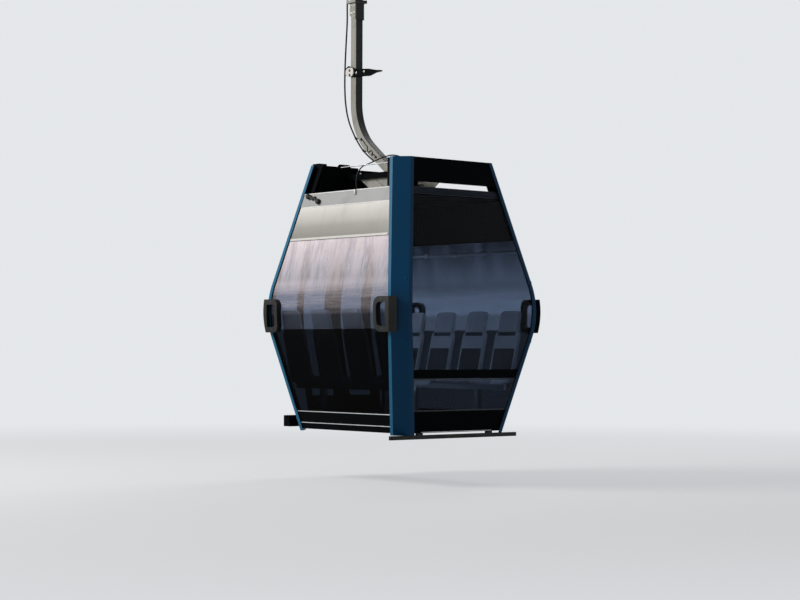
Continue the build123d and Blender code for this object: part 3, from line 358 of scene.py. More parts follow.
def tinted(colour, streak_share):
    """Clear tinted glass with faint rain marks."""
    def colour_of(tree):
        rain = place_group(tree, rain_streaks, Width=30.0, Length=1.3, Contrast=0.6)
        share = maths(tree, "MULTIPLY", rain["Streaks"], streak_share)
        return mix(tree, share, colour, (0.75, 0.76, 0.80, 1))
    return colour_of


def zinc_with_painted_shade(tree):
    """Galvanised steel: blotched and streaked grey, with painted shade that turns the faces looking towards -Y
    nearly black.
    """
    zinc = dirty((0.36, 0.36, 0.33, 1), (0.18, 0.17, 0.14, 1), scale=9.0, cover=0.55, share=0.6, streaks=0.3)
    # Painted shade: faces that look towards -Y are darkened nearly to black.
    shaded_side = between_values(tree, facing(tree, "Y"), -0.3, -0.5)
    return mix(tree, maths(tree, "MULTIPLY", shaded_side, 0.92), zinc(tree), (0.045, 0.050, 0.050, 1))


def edged_roof(tree):
    """Grey roof, with its edges over the side glass coated black."""
    grey = dirty((0.34, 0.35, 0.36, 1), (0.20, 0.19, 0.18, 1), scale=5.0, cover=0.5, share=0.4, streaks=0.15)
    edge = maths(tree, "GREATER_THAN", maths(tree, "ABSOLUTE", facing(tree, "Y")), 0.5)
    return mix(tree, edge, grey(tree), (0.008, 0.008, 0.009, 1))


def blue_with_painted_light(tree):
    """Blue paint, dusty, with painted light that lightens the faces that look along the rope."""
    deep = dirty(
        (0.004, 0.074, 0.185, 1), (0.02, 0.07, 0.13, 1), scale=4.0, cover=0.4, share=0.3, streaks=0.1
    )
    # Painted light: faces that look along X are mixed to a lighter blue.
    lit_ends = between_values(tree, maths(tree, "ABSOLUTE", facing(tree, "X")), 0.8, 0.95)
    return mix(tree, lit_ends, deep(tree), (0.020, 0.150, 0.285, 1))


def cream_with_painted_shade(tree):
    """Off-white paint with patches of dirt and rain streaks, and painted shade that darkens each panel towards
    its foot, down to its lighter lip.
    """
    pale = dirty((0.76, 0.75, 0.72, 1), (0.42, 0.39, 0.35, 1), scale=2.4, cover=0.55, share=0.5, streaks=0.25)
    # Painted shade: darker from the panel's top edge down to just above its lip.
    foot_shade = level(tree, (1.796, 0.1), (1.80, 1.0), (1.90, 0.80), (1.95, 0.52), (2.08, 0.02))
    return mix(tree, foot_shade, pale(tree), (0.225, 0.215, 0.195, 1))


# Dust on dark surfaces
BLACK_DIRT = (0.10, 0.095, 0.085, 1)

finish_surface(
    "blue_paint",
    blue_with_painted_light,
    uneven(0.34, 0.48),
    grained(180.0), bump=0.05, Specular_IOR_Level=0.12,
)
finish_surface(
    "cream_paint",
    cream_with_painted_shade,
    uneven(0.38, 0.55),
    grained(220.0), bump=0.05,
)
finish_surface(
    "roof_paint",
    edged_roof,
    uneven(0.42, 0.6),
    grained(240.0), bump=0.06,
)
finish_surface(
    "black_paint",
    dirty((0.003, 0.004, 0.005, 1), BLACK_DIRT, scale=6.0, cover=0.3, share=0.06),
    uneven(0.42, 0.58),
    grained(260.0), bump=0.06, Specular_IOR_Level=0.01,
)
finish_surface(
    "floor_rubber",
    dirty((0.07, 0.07, 0.075, 1), BLACK_DIRT, scale=6.0, cover=0.5, share=0.5),
    uneven(0.6, 0.8),
    grained(300.0), bump=0.15,
)
finish_surface(
    "tinted_glass",
    tinted((0.31, 0.37, 0.47, 1), 0.03),
    0.01, Transmission_Weight=1.0, IOR=1.12,
)
finish_surface(
    "filmed_glass",
    tinted((0.020, 0.026, 0.036, 1), 0.003),
    0.02, Transmission_Weight=1.0, IOR=1.07,
)
finish_surface(
    "galvanised",
    zinc_with_painted_shade,
    uneven(0.5, 0.72, scale=9.0),
    grained(90.0), bump=0.15, Specular_IOR_Level=0.15,
)
finish_surface(
    "black_rubber",
    dirty((0.010, 0.010, 0.010, 1), BLACK_DIRT, scale=8.0, cover=0.4, share=0.25),
    uneven(0.5, 0.68),
    grained(320.0), bump=0.12, Specular_IOR_Level=0.25,
)
finish_surface(
    "cable_rubber",
    dirty((0.006, 0.008, 0.014, 1), BLACK_DIRT, scale=12.0, cover=0.4, share=0.15),
    uneven(0.45, 0.6),
    grained(500.0), bump=0.1, Specular_IOR_Level=0.2,
)
finish_surface(
    "aluminium_rail",
    dirty((0.62, 0.63, 0.64, 1), (0.30, 0.29, 0.27, 1), scale=8.0, cover=0.4, share=0.3),
    uneven(0.28, 0.45),
    grained(400.0), bump=0.05, Metallic=0.85,
)
finish_surface(
    "seat_shell",
    dirty((0.76, 0.76, 0.78, 1), (0.44, 0.43, 0.43, 1), scale=7.0, cover=0.4, share=0.3),
    uneven(0.4, 0.55),
    grained(420.0), bump=0.12,
)
finish_surface(
    "cast_grip",
    dirty((0.30, 0.31, 0.32, 1), (0.13, 0.12, 0.10, 1), scale=14.0, cover=0.5, share=0.55),
    uneven(0.42, 0.65, scale=14.0),
    grained(160.0), bump=0.3, Metallic=0.5,
)
finish_surface(
    "steel",
    dirty((0.50, 0.50, 0.50, 1), (0.22, 0.20, 0.17, 1), scale=16.0, cover=0.45, share=0.4),
    uneven(0.25, 0.45, scale=16.0),
    grained(600.0), bump=0.08, Metallic=0.9,
)
finish_surface(
    "spring_steel",
    dirty((0.07, 0.07, 0.075, 1), (0.16, 0.13, 0.10, 1), scale=20.0, cover=0.45, share=0.4),
    uneven(0.35, 0.5),
    grained(500.0), bump=0.1, Metallic=0.3,
)
finish_surface(
    "wheel_tread",
    dirty((0.05, 0.05, 0.055, 1), BLACK_DIRT, scale=18.0, cover=0.45, share=0.4),
    uneven(0.4, 0.55),
    grained(450.0), bump=0.1,
)
finish_surface(
    "dust_and_reflection_film",
    film_and_reflection_colour,
    uneven(0.45, 0.7), cover=film_and_reflection_cover, Specular_IOR_Level=0.2,
)
finish_surface(
    "white_plastic",
    dirty((0.78, 0.79, 0.80, 1), (0.40, 0.38, 0.34, 1), scale=30.0, cover=0.4, share=0.4),
    uneven(0.35, 0.5),
    grained(700.0), bump=0.08,
)
finish_surface(
    "seat_insert",
    dirty((0.035, 0.036, 0.042, 1), (0.12, 0.12, 0.12, 1), scale=9.0, cover=0.4, share=0.3),
    uneven(0.5, 0.7),
    grained(900.0), bump=0.3,
)
finish_surface(
    "dark_bolt",
    dirty((0.05, 0.05, 0.05, 1), (0.14, 0.09, 0.06, 1), scale=40.0, cover=0.5, share=0.5),
    uneven(0.35, 0.55),
    grained(800.0), bump=0.1, Metallic=0.6,
)
finish_surface(
    "zinc_bolt",
    dirty((0.50, 0.50, 0.48, 1), (0.20, 0.17, 0.13, 1), scale=40.0, cover=0.45, share=0.5),
    uneven(0.3, 0.5),
    grained(800.0), bump=0.08, Metallic=0.7,
)
finish_surface(
    "edge_rubber",
    dirty((0.016, 0.016, 0.017, 1), BLACK_DIRT, scale=20.0, cover=0.4, share=0.3),
    uneven(0.55, 0.7),
    grained(600.0), bump=0.12, Specular_IOR_Level=0.2,
)


def coat(made, finish):
    """Give an object one material on all its slots."""
    made.data.materials.clear()
    made.data.materials.append(surface[finish])


for subpart in frame["record"]["subparts"]:
    coat(node[subpart["node"]], subpart["material_slot"])


# Edges that bend more than this stay sharp
SHARP_ANGLE = radians(35)


def add_piece(name, shape, finish, body="carrier"):
    """A piece of trim from its mesh, with its finish, on the body that carries it."""
    mesh = bpy.data.meshes.new(name)
    bmesh.ops.recalc_face_normals(shape, faces=shape.faces)
    shape.to_mesh(mesh)
    shape.free()
    mesh.polygons.foreach_set("use_smooth", [True] * len(mesh.polygons))
    mesh.set_sharp_from_angle(angle=SHARP_ANGLE)
    made = bpy.data.objects.new(name, mesh)
    bpy.context.scene.collection.objects.link(made)
    coat(made, finish)
    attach(made, body)
    return made


@cache
def skin_of(name):
    """The faces of a node, for finding where a piece sits on it."""
    mesh = node[name].data
    spots = [spot.co for spot in mesh.vertices]
    return BVHTree.FromPolygons(spots, [face.vertices for face in mesh.polygons])


def sit(name, start, way):
    """Where a line from a point meets a node, and the way its face looks there."""
    place, normal, _, _ = skin_of(name).ray_cast(Vector(start), Vector(way).normalized())
    if place is None:
        raise ValueError(f"nothing of {name} lies on the line from {start}")
    return place, normal if normal.dot(Vector(way)) < 0 else -normal


def seen_at(name, across, down):
    """Where a pixel of the photograph falls on a node."""
    look, right, up = camera_axes()
    focus = CAMERA_LENS / SENSOR_WIDTH * PICTURE_WIDTH
    aside = right * (across - PICTURE_WIDTH / 2) + up * (PICTURE_HEIGHT / 2 - down)
    return sit(name, CAMERA_PLACE, look * focus + aside)


def at_height(x, y, height):
    """A point by its height over the posts' feet."""
    return Vector((x, y, height - ROPE_HEIGHT))


# Where the lines that find a seat start: beside the cabin, and over its roof
BESIDE = 1.5
OVER_ROOF = 2.6


def on_end(name, side, y, height):
    """A seat on a node's face that looks along the rope."""
    return sit(name, at_height(side * BESIDE, y, height), (-side, 0, 0))


def on_side(name, side, x, height):
    """A seat on a node's face that looks across the rope."""
    return sit(name, at_height(x, side * BESIDE, height), (0, -side, 0))


def on_top(name, x, y, height=OVER_ROOF):
    """A seat on a node's face below a point."""
    return sit(name, at_height(x, y, height), (0, 0, -1))


def between(first, second, count):
    """Evenly spaced points from one to another."""
    first, second = Vector(first), Vector(second)
    return [first.lerp(second, step / (count - 1)) for step in range(count)]


def row(seat_on, name, side, first, second, count):
    """Evenly spaced seats on an end or a side, from one (place across, height) to another."""
    return [seat_on(name, side, *spot) for spot in between(first, second, count)]


def laid(name, starts, way):
    """Seats on a node along lines from a row of points."""
    return [sit(name, start, way) for start in starts]


def turned(shape, profile, sides, place, axis):
    """Add a turned form: rings of (radius, height) along an axis that starts at a place."""
    turn = Vector(axis).to_track_quat("Z", "Y").to_matrix()
    angles = [2 * pi * step / sides for step in range(sides)]
    rings = []
    for radius, height in profile:
        spots = [Vector((radius * cos(angle), radius * sin(angle), height)) for angle in angles]
        rings.append([shape.verts.new(place + turn @ spot) for spot in spots])
    for low, high in zip(rings, rings[1:]):
        for step in range(sides):
            after = (step + 1) % sides
            shape.faces.new((low[step], low[after], high[after], high[step]))
    shape.faces.new(rings[-1])
    shape.faces.new(rings[0][::-1])


# Where fastenings and strips start, a little under the face they sit on
UNDER_FACE = -0.001
RIBBON_UNDER_FACE = -0.0006

# Profiles of fastenings as (radius, height), in shares of their size
WASHER = ((1.15, 0.14), (1.0, 0.22))
BOLT_HEAD = ((0.85, 0.2), (0.85, 0.75), (0.72, 0.9))
THREAD_END = ((0.45, 0.88), (0.45, 1.2), (0.36, 1.3))
DOME = ((1.0, 0.12), (0.86, 0.34), (0.6, 0.48), (0.42, 0.5), (0.36, 0.2))


def sized(profile, size):
    """A profile at its real size."""
    return tuple((size * radius, size * height) for radius, height in profile)


def add_bolt(shape, place, normal, size):
    """A washer, a six-sided head with a chamfer, and a short stub of thread."""
    turned(shape, ((size * WASHER[0][0], UNDER_FACE), *sized(WASHER, size)), 20, place, normal)
    turned(shape, sized(BOLT_HEAD, size), 6, place, normal)
    turned(shape, sized(THREAD_END, size), 12, place, normal)


def add_dome(shape, place, normal, size):
    """A low domed screw head with a socket in it."""
    turned(shape, ((size, UNDER_FACE), *sized(DOME, size)), 14, place, normal)


# Section of a strip: the height of its edges and the chamfer, as shares of its thickness, and where the
# edge and the shoulder of a rounded strip lie, as shares of half its width
EDGE_RISE = 0.6
CHAMFER = 0.4
ROUND_EDGE, ROUND_SHOULDER = 0.85, 0.4


def add_ribbon(shape, seats, width, thick, round_top=False):
    """A strip laid along seats of (place, normal), with its outer edges chamfered or its top rounded."""
    low, rise, half = RIBBON_UNDER_FACE, thick * EDGE_RISE, width / 2
    edge, shoulder = half, half - thick * CHAMFER
    if round_top:
        edge, shoulder = half * ROUND_EDGE, half * ROUND_SHOULDER
    section = (
        (-half, low), (-edge, rise), (-shoulder, thick),
        (shoulder, thick), (edge, rise), (half, low)
    )
    loops = []
    for count, (place, normal) in enumerate(seats):
        before = seats[max(count - 1, 0)][0]
        after = seats[min(count + 1, len(seats) - 1)][0]
        across = normal.cross(after - before).normalized()
        loops.append([shape.verts.new(place + across * aside + normal * up) for aside, up in section])
    for first, second in zip(loops, loops[1:]):
        for step in range(len(section)):
            after = (step + 1) % len(section)
            shape.faces.new((first[step], first[after], second[after], second[step]))
    shape.faces.new(loops[0][::-1])
    shape.faces.new(loops[-1])


# The cabin's two ends with the sign of their X
ENDS = (("front", 1), ("rear", -1))

# How far the film of dust and painted reflection lies off the glass
FILM_LIFT = 0.0007


def make_window_films():
    """Dust and painted reflection on the outer face of each end window."""
    for end, side in ENDS:
        shape = bmesh.new()
        shape.from_mesh(node[f"end_window_{end}"].data)
        inner = [face for face in shape.faces if face.normal.x * side < 0.5]
        bmesh.ops.delete(shape, geom=inner, context="FACES")
        for spot in shape.verts:
            spot.co += spot.normal * FILM_LIFT
        add_piece(f"window_dust_and_reflection_{end}", shape, "dust_and_reflection_film")


# Strips on the ends of the sills, as (height, half length), the strip on the closed side, and the
# corners of the bead round the lower side glass, as (x, height)
SILL_STRIPS = ((0.184, 0.685), (0.078, 0.665))
SIDE_STRIP = ((-0.53, 0.027), (0.53, 0.027))
BEAD_CORNERS = ((-0.545, 0.218), (-0.607, 0.497), (0.607, 0.497), (0.545, 0.218), (-0.545, 0.218))


def make_sill_trims():
    """Bright strips along the sills, and the bead round the lower side glass."""
    shape = bmesh.new()
    for side in (-1, 1):
        for height, half in SILL_STRIPS:
            seats = row(on_end, "sill_frame", side, (-half, height), (half, height), count=9)
            add_ribbon(shape, seats, width=0.007, thick=0.003)
    seats = row(on_side, "sill_frame", -1, *SIDE_STRIP, count=9)
    add_ribbon(shape, seats, width=0.004, thick=0.002)
    add_piece("sill_trims", shape, "aluminium_rail")
    shape = bmesh.new()
    for first, second in zip(BEAD_CORNERS, BEAD_CORNERS[1:]):
        seats = row(on_side, "side_lower_glass", -1, first, second, count=9)
        add_ribbon(shape, seats, width=0.008, thick=0.002)
    add_piece("lower_glass_bead", shape, "roof_paint")


# Painted highlights along the top edges of the panels and of the roof, as (height, half length)
PANEL_EDGE_HIGHLIGHT = (2.089, 0.655)
ROOF_EDGE_HIGHLIGHT = (2.213, 0.62)


def make_edge_highlights():
    """Pale strips over the end panels and along the ends of the roof, as painted highlights on their edges."""
    shape = bmesh.new()
    for end, side in ENDS:
        for name, (height, half) in ((f"end_panel_{end}", PANEL_EDGE_HIGHLIGHT), ("roof_panel", ROOF_EDGE_HIGHLIGHT)):
            seats = row(on_end, name, side, (-half, height), (half, height), count=7)
            add_ribbon(shape, seats, width=0.010, thick=0.003)
    # Painted highlight: pale strips on the edges.
    add_piece("panel_edge_highlights", shape, "white_plastic")


# Rubber catch on the rear edge of the roof with its two knobs, and a tab, as (y, height)
CATCH_RUN = (
    (0.575, 2.200), (0.530, 2.190), (0.480, 2.165), (0.450, 2.172),
    (0.420, 2.150), (0.385, 2.135), (0.365, 2.128)
)
CATCH_KNOBS = ((0.545, 2.188), (0.385, 2.134))
ROOF_TAB = ((-0.145, 2.215), (-0.150, 2.172))

# Profile of a knob, as (radius, height)
CATCH_KNOB = ((0.026, UNDER_FACE), (0.026, 0.022), (0.020, 0.030))


def make_roof_trims():
    """A rubber catch and a small tab on the rear edge of the roof."""
    shape = bmesh.new()
    seats = [on_end("roof_panel", -1, *spot) for spot in CATCH_RUN]
    add_ribbon(shape, seats, width=0.034, thick=0.024, round_top=True)
    for spot in CATCH_KNOBS:
        turned(shape, CATCH_KNOB, 16, *on_end("roof_panel", -1, *spot))
    add_piece("roof_catch", shape, "edge_rubber")
    shape = bmesh.new()
    seats = row(on_end, "roof_panel", -1, *ROOF_TAB, count=5)
    add_ribbon(shape, seats, width=0.026, thick=0.016, round_top=True)
    add_piece("roof_tab", shape, "white_plastic")


# Bolts on the roof: the piece, their x and y to both sides of the middle, and their size
ROOF_BOLTS = (
    ("hanger_arm", 0.120, 0.120, 0.015),
    ("hanger_base", 0.220, 0.150, 0.012),
    ("roof_beams", 0.25, 0.30, 0.011),
    ("roof_beams", 0.25, 0.62, 0.011),
)
FAIRING_SCREWS_X = (-0.42, -0.14, 0.14, 0.42)
FAIRING_SCREW_HEIGHTS = (2.30, 2.46)


def make_roof_bolts():
    """Bolts of the arm's foot, its base and the roof beams, and screws of the fairings."""
    shape = bmesh.new()
    for name, x, y, size in ROOF_BOLTS:
        for spot in ((-x, -y), (-x, y), (x, -y), (x, y)):
            add_bolt(shape, *on_top(name, *spot), size)
    add_piece("roof_bolts", shape, "zinc_bolt")
    shape = bmesh.new()
    for side in (-1, 1):
        for x in FAIRING_SCREWS_X:
            for height in FAIRING_SCREW_HEIGHTS:
                add_dome(shape, *on_side("side_fairings", side, x, height), size=0.007)
    add_piece("fairing_screws", shape, "black_paint")


# Screws of the near post, as pixels of the photograph. The other posts repeat them.
POST_SCREWS = ((406, 278), (406, 341))

# Screws of each end's buffers, as (y, height), and how deep they are sunk
BUFFER_SCREWS = ((-0.81, 0.945), (-0.81, 1.204), (0.81, 0.945), (0.81, 1.204))
BUFFER_SCREW_SINK = 0.002


def make_post_screws():
    """Screws in the faces of the corner posts and in the buffers."""
    shape = bmesh.new()
    for pixel in POST_SCREWS:
        place, normal = seen_at("corner_posts", *pixel)
        for x in (-1, 1):
            for y in (-1, 1):
                mirror = Vector((x, y, 1))
                add_dome(shape, place * mirror, normal * mirror, size=0.010)
    add_piece("post_screws", shape, "blue_paint")
    shape = bmesh.new()
    for end, side in ENDS:
        for spot in BUFFER_SCREWS:
            place, normal = on_end(f"buffers_{end}", side, *spot)
            add_dome(shape, place - normal * BUFFER_SCREW_SINK, normal, size=0.009)
    add_piece("buffer_screws", shape, "dark_bolt")


# Bolts of the collar and the bracket, as (y, height), and the collar's upper bolts, as (x, y), with the
# height that the lines to them start at
COLLAR_BOLTS = ((0.656, 4.005), (0.656, 4.072), (0.697, 4.005), (0.697, 4.072))
COLLAR_TOP_BOLTS = ((-0.062, 0.612), (-0.062, 0.742), (0.062, 0.612), (0.062, 0.742))
OVER_COLLAR = 4.20
BRACKET_BOLTS = ((0.62, 3.422), (0.50, 3.422))

# Screws of the bracket's pale pad, as pixels of the photograph
PAD_SCREWS = ((349.6, 70.6), (349.6, 75.0))


def make_arm_bolts():
    """Bolts of the arm's collar and bracket, and screws of the bracket's pad."""
    shape = bmesh.new()
    for side in (-1, 1):
        for spot in COLLAR_BOLTS:
            add_bolt(shape, *on_end("hanger_collar", side, *spot), size=0.010)
    for spot in COLLAR_TOP_BOLTS:
        add_bolt(shape, *on_top("hanger_collar", *spot, OVER_COLLAR), size=0.008)
    for spot in BRACKET_BOLTS:
        add_bolt(shape, *on_end("hanger_bracket", -1, *spot), size=0.009)
    add_piece("arm_bolts", shape, "zinc_bolt")
    shape = bmesh.new()
    for pixel in PAD_SCREWS:
        add_dome(shape, *seen_at("bracket_pad", *pixel), size=0.013)
    add_piece("pad_screws", shape, "dark_bolt")


# The arm's cable, and its clips: their heights, how far to both sides of them the cable's direction is
# taken, and the profiles of the ring and of the stud's foot
CABLE_X = -0.034
CABLE_RADIUS = 0.008
CLIP_HEIGHTS = (2.66, 2.79)
CLIP_SPAN = 0.02
CLIP_RING = ((0.0086, -0.010), (0.0115, -0.010), (0.0115, 0.010), (0.0086, 0.010))
CLIP_FOOT = ((0.010, -0.002), (0.010, 0.003), (0.0045, 0.005))

# Upper end of the cable, its way there, and the profile of its gland and plug
CABLE_END = (CABLE_X, 0.737, 4.420)
CABLE_END_WAY = (0, -0.028, 0.120)
GLAND = (
    (0.0088, -0.036), (0.0125, -0.032), (0.0140, -0.018), (0.0180, -0.018), (0.0180, -0.002),
    (0.0140, -0.002), (0.0140, 0.030), (0.0210, 0.030), (0.0225, 0.034), (0.0225, 0.066), (0.0190, 0.072)
)

# The cable's bracket: its thickness, its top and its fold over the cable's end, how far out the fold
# reaches, and how far the lip goes past the cable's end
BRACKET_THICK = 0.007
BRACKET_TOP, BRACKET_FOLD = 0.085, 0.022
FOLD_REACH = 0.012
LIP_PAST = 0.026


def make_cable_clips():
    """Rubber rings that hold the cable on studs of the arm."""
    shape = bmesh.new()
    for height in CLIP_HEIGHTS:
        arm, _ = on_side("hanger_arm", 1, CABLE_X, height)
        low, _ = on_side("hanger_cable", 1, CABLE_X, height - CLIP_SPAN)
        high, _ = on_side("hanger_cable", 1, CABLE_X, height + CLIP_SPAN)
        run = (high - low).normalized()
        out = Vector((0, run.z, -run.y))
        middle = (low + high) / 2 - out * CABLE_RADIUS
        turned(shape, CLIP_RING, 16, middle, run)
        reach = middle - arm
        stud_end = (CLIP_FOOT[-1][0], reach.length - CABLE_RADIUS)
        turned(shape, (*CLIP_FOOT, stud_end), 12, arm, reach)
    add_piece("cable_clips", shape, "edge_rubber")


def make_cable_end():
    """A folded bracket on the hanger's head, and the gland and plug that the arm's cable ends in."""
    end = at_height(*CABLE_END)
    shape = bmesh.new()
    starts = between((end.x, BESIDE, end.z + BRACKET_TOP), (end.x, BESIDE, end.z + BRACKET_FOLD), count=6)
    plate = laid("hanger_head", starts, (0, -1, 0))
    fold = plate[-1][0]
    lip = between(fold + Vector((0, FOLD_REACH, 0)), (end.x, end.y + LIP_PAST, fold.z), count=6)
    add_ribbon(shape, plate + [(place, Vector((0, 0, 1))) for place in lip], width=0.050, thick=BRACKET_THICK)
    for place, normal in (plate[1], plate[4]):
        add_bolt(shape, place + normal * BRACKET_THICK, normal, size=0.009)
    add_piece("cable_bracket", shape, "galvanised")
    shape = bmesh.new()
    turned(shape, GLAND, 24, end, CABLE_END_WAY)
    add_piece("cable_gland", shape, "edge_rubber")


# Bends of the thin wire on the arm's pale face, as pixels of the photograph, the steps of the curve
# between two of them, and the profile of the knob at each of its ends
ARM_WIRE = (
    (361.4, 139.4), (363.8, 141.4), (365.2, 144.2), (367.4, 146.6), (367.6, 149.7), (368.6, 152.2),
    (371.2, 150.6), (372.6, 152.6), (371.6, 155.0), (374.0, 154.6), (375.8, 157.0)
)
WIRE_STEPS = 4
WIRE_KNOB = ((0.012, UNDER_FACE), (0.012, 0.008), (0.008, 0.011))


def smooth_point(around, share):
    """A point between the middle two of four, on a smooth curve through all of them."""
    before, first, second, after = around
    return 0.5 * (
        2 * first
        + (second - before) * share
        + (2 * before - 5 * first + 4 * second - after) * share ** 2
        + (3 * first - before - 3 * second + after) * share ** 3
    )


def make_arm_wire():
    """The thin wire on the arm's pale face."""
    shape = bmesh.new()
    bends = [seen_at("hanger_arm", *pixel) for pixel in ARM_WIRE]
    last = len(bends) - 1
    wire = []
    for count in range(last):
        around = [bends[min(max(count + step, 0), last)][0] for step in (-1, 0, 1, 2)]
        wire += [(smooth_point(around, step / WIRE_STEPS), bends[count][1]) for step in range(WIRE_STEPS)]
    add_ribbon(shape, wire + bends[-1:], width=0.009, thick=0.007, round_top=True)
    for seat in (bends[0], bends[-1]):
        turned(shape, WIRE_KNOB, 14, *seat)
    add_piece("arm_wire", shape, "edge_rubber")


# Door leaves: the rubber edge where they meet and the finger strip beside it, as the place across from
# the middle of the doorway and the lowest and highest point, and the places of their screws
LEAF_EDGE = (0.014, 0.16, 2.18)
FINGER_STRIP = (0.060, 1.31, 1.58)
LEAF_SCREWS_X = (0.060, 0.395)
LEAF_SCREW_HEIGHTS = (0.22, 0.55, 0.88, 1.36, 1.75, 2.14)


def make_door_trims():
    """Rubber edges, finger strips and screws of the sliding leaves."""
    for end, side in ENDS:
        leaf, body = f"door_leaf_{end}", f"door_{end}"
        shape = bmesh.new()
        across, low, high = LEAF_EDGE
        seats = row(on_side, leaf, 1, (side * across, low), (side * across, high), count=24)
        add_ribbon(shape, seats, width=0.020, thick=0.0015, round_top=True)
        across, low, high = FINGER_STRIP
        seats = row(on_side, leaf, 1, (side * across, low), (side * across, high), count=10)
        add_ribbon(shape, seats, width=0.030, thick=0.016, round_top=True)
        add_piece(f"door_edge_{end}", shape, "edge_rubber", body)
        shape = bmesh.new()
        for across in LEAF_SCREWS_X:
            for height in LEAF_SCREW_HEIGHTS:
                add_dome(shape, *on_side(leaf, 1, side * across, height), size=0.006)
        add_piece(f"door_screws_{end}", shape, "dark_bolt", body)


# Seats of a row: their middles, and the insert's width and thickness, its heights on the back, its reach
# along the pan and the height that the lines to the pan start at
SEAT_MIDDLES = (-0.6825, -0.2275, 0.2275, 0.6825)
INSERT = (0.27, 0.004)
BACK_INSERT = (0.56, 0.775)
PAN_INSERT = (0.42, 0.575)
OVER_PAN = 0.8

# The joint and the pale strip under each head, the strip being a painted highlight, as (height, width,
# thickness), and half their length
HEAD_JOINT = (0.912, 0.034, 0.003)
HEAD_HIGHLIGHT = (0.938, 0.008, 0.004)
HEAD_STRIP_HALF = 0.118


def make_seat_trims():
    """Dark inserts on the seats' backs and pans, the joint under each head, and a pale strip there as a painted
    highlight.
    """
    for end, side in ENDS:
        name = f"seats_{end}"
        inserts, highlight_strips = bmesh.new(), bmesh.new()
        for middle in SEAT_MIDDLES:
            low, high = (at_height(0, middle, height) for height in BACK_INSERT)
            add_ribbon(inserts, laid(name, between(low, high, count=10), (side, 0, 0)), *INSERT)
            front, back = (at_height(side * x, middle, OVER_PAN) for x in PAN_INSERT)
            add_ribbon(inserts, laid(name, between(front, back, count=6), (0, 0, -1)), *INSERT)
            for shape, (height, width, thick) in ((inserts, HEAD_JOINT), (highlight_strips, HEAD_HIGHLIGHT)):
                first = at_height(0, middle - HEAD_STRIP_HALF, height)
                second = at_height(0, middle + HEAD_STRIP_HALF, height)
                starts = between(first, second, count=5)
                add_ribbon(shape, laid(name, starts, (side, 0, 0)), width, thick)
        add_piece(f"seat_inserts_{end}", inserts, "seat_insert")
        # Painted highlight: the pale strip under each seat head.
        add_piece(f"seat_highlights_{end}", highlight_strips, "aluminium_rail")


# Grip: where the lines that find its faces start, the plate's screws, the pivot and the wheels
OVER_GRIP = 0.5
BESIDE_GRIP = 0.8
PLATE_SCREWS_X = (-0.23, -0.08, 0.08, 0.23)
PLATE_SCREWS_Y = (0.028, 0.100)
PIVOT_Z = -0.110
WHEEL_X, WHEEL_Z = 0.230, 0.110


def round_hub(count, radius, x, z, first=0.0):
    """Points beside the grip, evenly round a hub."""
    angles = [2 * pi * step / count + first for step in range(count)]
    return [(x + radius * cos(angle), BESIDE_GRIP, z + radius * sin(angle)) for angle in angles]


def make_grip_trims():
    """Screws of the grip's traction plate, bolts of the pivot's cap, and screws round the wheels' hubs."""
    shape = bmesh.new()
    for x in PLATE_SCREWS_X:
        for y in PLATE_SCREWS_Y:
            add_dome(shape, *sit("traction_plate", (x, y, OVER_GRIP), (0, 0, -1)), size=0.005)
    for seat in laid("grip_pivot", round_hub(3, 0.028, 0, PIVOT_Z, pi / 2), (0, -1, 0)):
        add_bolt(shape, *seat, size=0.006)
    add_piece("grip_screws", shape, "zinc_bolt", "grip")
    for end, side in ENDS:
        shape = bmesh.new()
        for seat in laid(f"running_wheel_{end}", round_hub(5, 0.036, side * WHEEL_X, WHEEL_Z), (0, -1, 0)):
            add_dome(shape, *seat, size=0.004)
        add_piece(f"wheel_bolts_{end}", shape, "zinc_bolt", f"wheel_{end}")


def make_spring_coils():
    """The grip's springs, which the lever presses together as the jaw opens."""
    shape = bmesh.new()
    shape.from_mesh(node["grip_springs"].data)
    coils = add_piece("spring_coils", shape, "spring_steel", "grip")
    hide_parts("grip_springs")
    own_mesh(coils)


make_window_films()
make_sill_trims()
make_edge_highlights()
make_roof_trims()
make_roof_bolts()
make_post_screws()
make_arm_bolts()
make_cable_clips()
make_cable_end()
make_arm_wire()
make_door_trims()
make_seat_trims()
make_grip_trims()
make_spring_coils()


def pale_glow(tree):
    """Strength of the surroundings: full for camera, mirror and glass rays, and a soft fill for the rest."""
    path = add_node(tree, "ShaderNodeLightPath").outputs
    seen = maths(tree, "ADD", path["Is Camera Ray"], path["Is Glossy Ray"])
    seen = maths(tree, "ADD", seen, path["Is Transmission Ray"], clamp=True)
    limits = {"Value": seen, "To Min": FILL_STRENGTH, "To Max": 1.0}
    return add_node(tree, "ShaderNodeMapRange", limits).outputs[0]


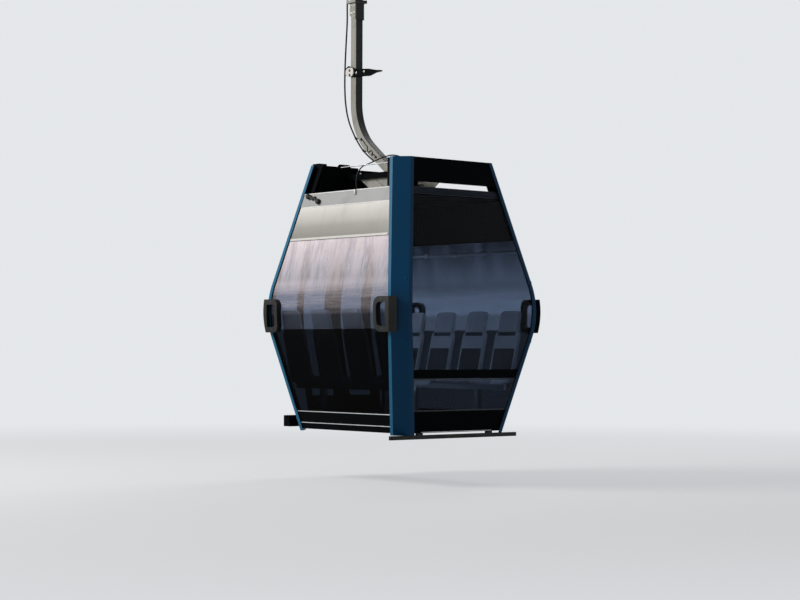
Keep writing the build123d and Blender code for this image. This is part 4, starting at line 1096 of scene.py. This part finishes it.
def make_world():
    """Pale surroundings."""
    world = bpy.data.worlds.new("studio")
    tree = new_tree(world)
    background = add_node(tree, "ShaderNodeBackground", {"Color": BACKGROUND, "Strength": pale_glow(tree)})
    output = tree.nodes.new("ShaderNodeOutputWorld")
    tree.links.new(background.outputs[0], output.inputs["Surface"])
    bpy.context.scene.world = world


def make_floor():
    """A round pale floor whose far part fades into the background."""
    mesh = bpy.data.meshes.new("floor_disc")
    shape = bmesh.new()
    bmesh.ops.create_circle(shape, cap_ends=True, segments=96, radius=FLOOR_RADIUS)
    shape.to_mesh(mesh)
    shape.free()
    floor = bpy.data.objects.new("studio_floor", mesh)
    floor.location = (0, 0, POST_FOOT - FLOOR_DROP)
    bpy.context.scene.collection.objects.link(floor)
    made = bpy.data.materials.new("studio_floor")
    tree = new_tree(made)
    place = add_node(tree, "ShaderNodeTexCoord").outputs["Object"]
    far = add_node(tree, "ShaderNodeVectorMath", {0: place}, operation="LENGTH").outputs["Value"]
    limits = {"Value": far, "From Min": FADE_START, "From Max": FADE_END, "To Min": FLOOR_GLOW}
    fade = add_node(tree, "ShaderNodeMapRange", limits, interpolation_type="SMOOTHSTEP").outputs[0]
    plain = add_node(tree, "ShaderNodeBsdfDiffuse", {"Color": FLOOR_COLOUR})
    glow = add_node(tree, "ShaderNodeEmission", {"Color": BACKGROUND, "Strength": pale_glow(tree)})
    joined = add_node(tree, "ShaderNodeMixShader", {0: fade, 1: plain.outputs[0], 2: glow.outputs[0]})
    output = tree.nodes.new("ShaderNodeOutputMaterial")
    tree.links.new(joined.outputs[0], output.inputs["Surface"])
    mesh.materials.append(made)


def make_light(name, place, size, power, colour=(1, 1, 1)):
    """A square soft light that looks at the cabin."""
    lamp = bpy.data.lights.new(name, "AREA")
    lamp.size = size
    lamp.energy = power
    lamp.color = colour
    light = bpy.data.objects.new(name, lamp)
    light.location = place
    light.rotation_euler = (LIGHT_AIM - place).to_track_quat("-Z", "Y").to_euler()
    bpy.context.scene.collection.objects.link(light)


make_camera()
make_world()
make_floor()
make_light("key", KEY_PLACE, KEY_SIZE, KEY_POWER, KEY_COLOUR)
make_light("rim", RIM_PLACE, RIM_SIZE, RIM_POWER)
bpy.context.scene.view_settings.view_transform = "Standard"
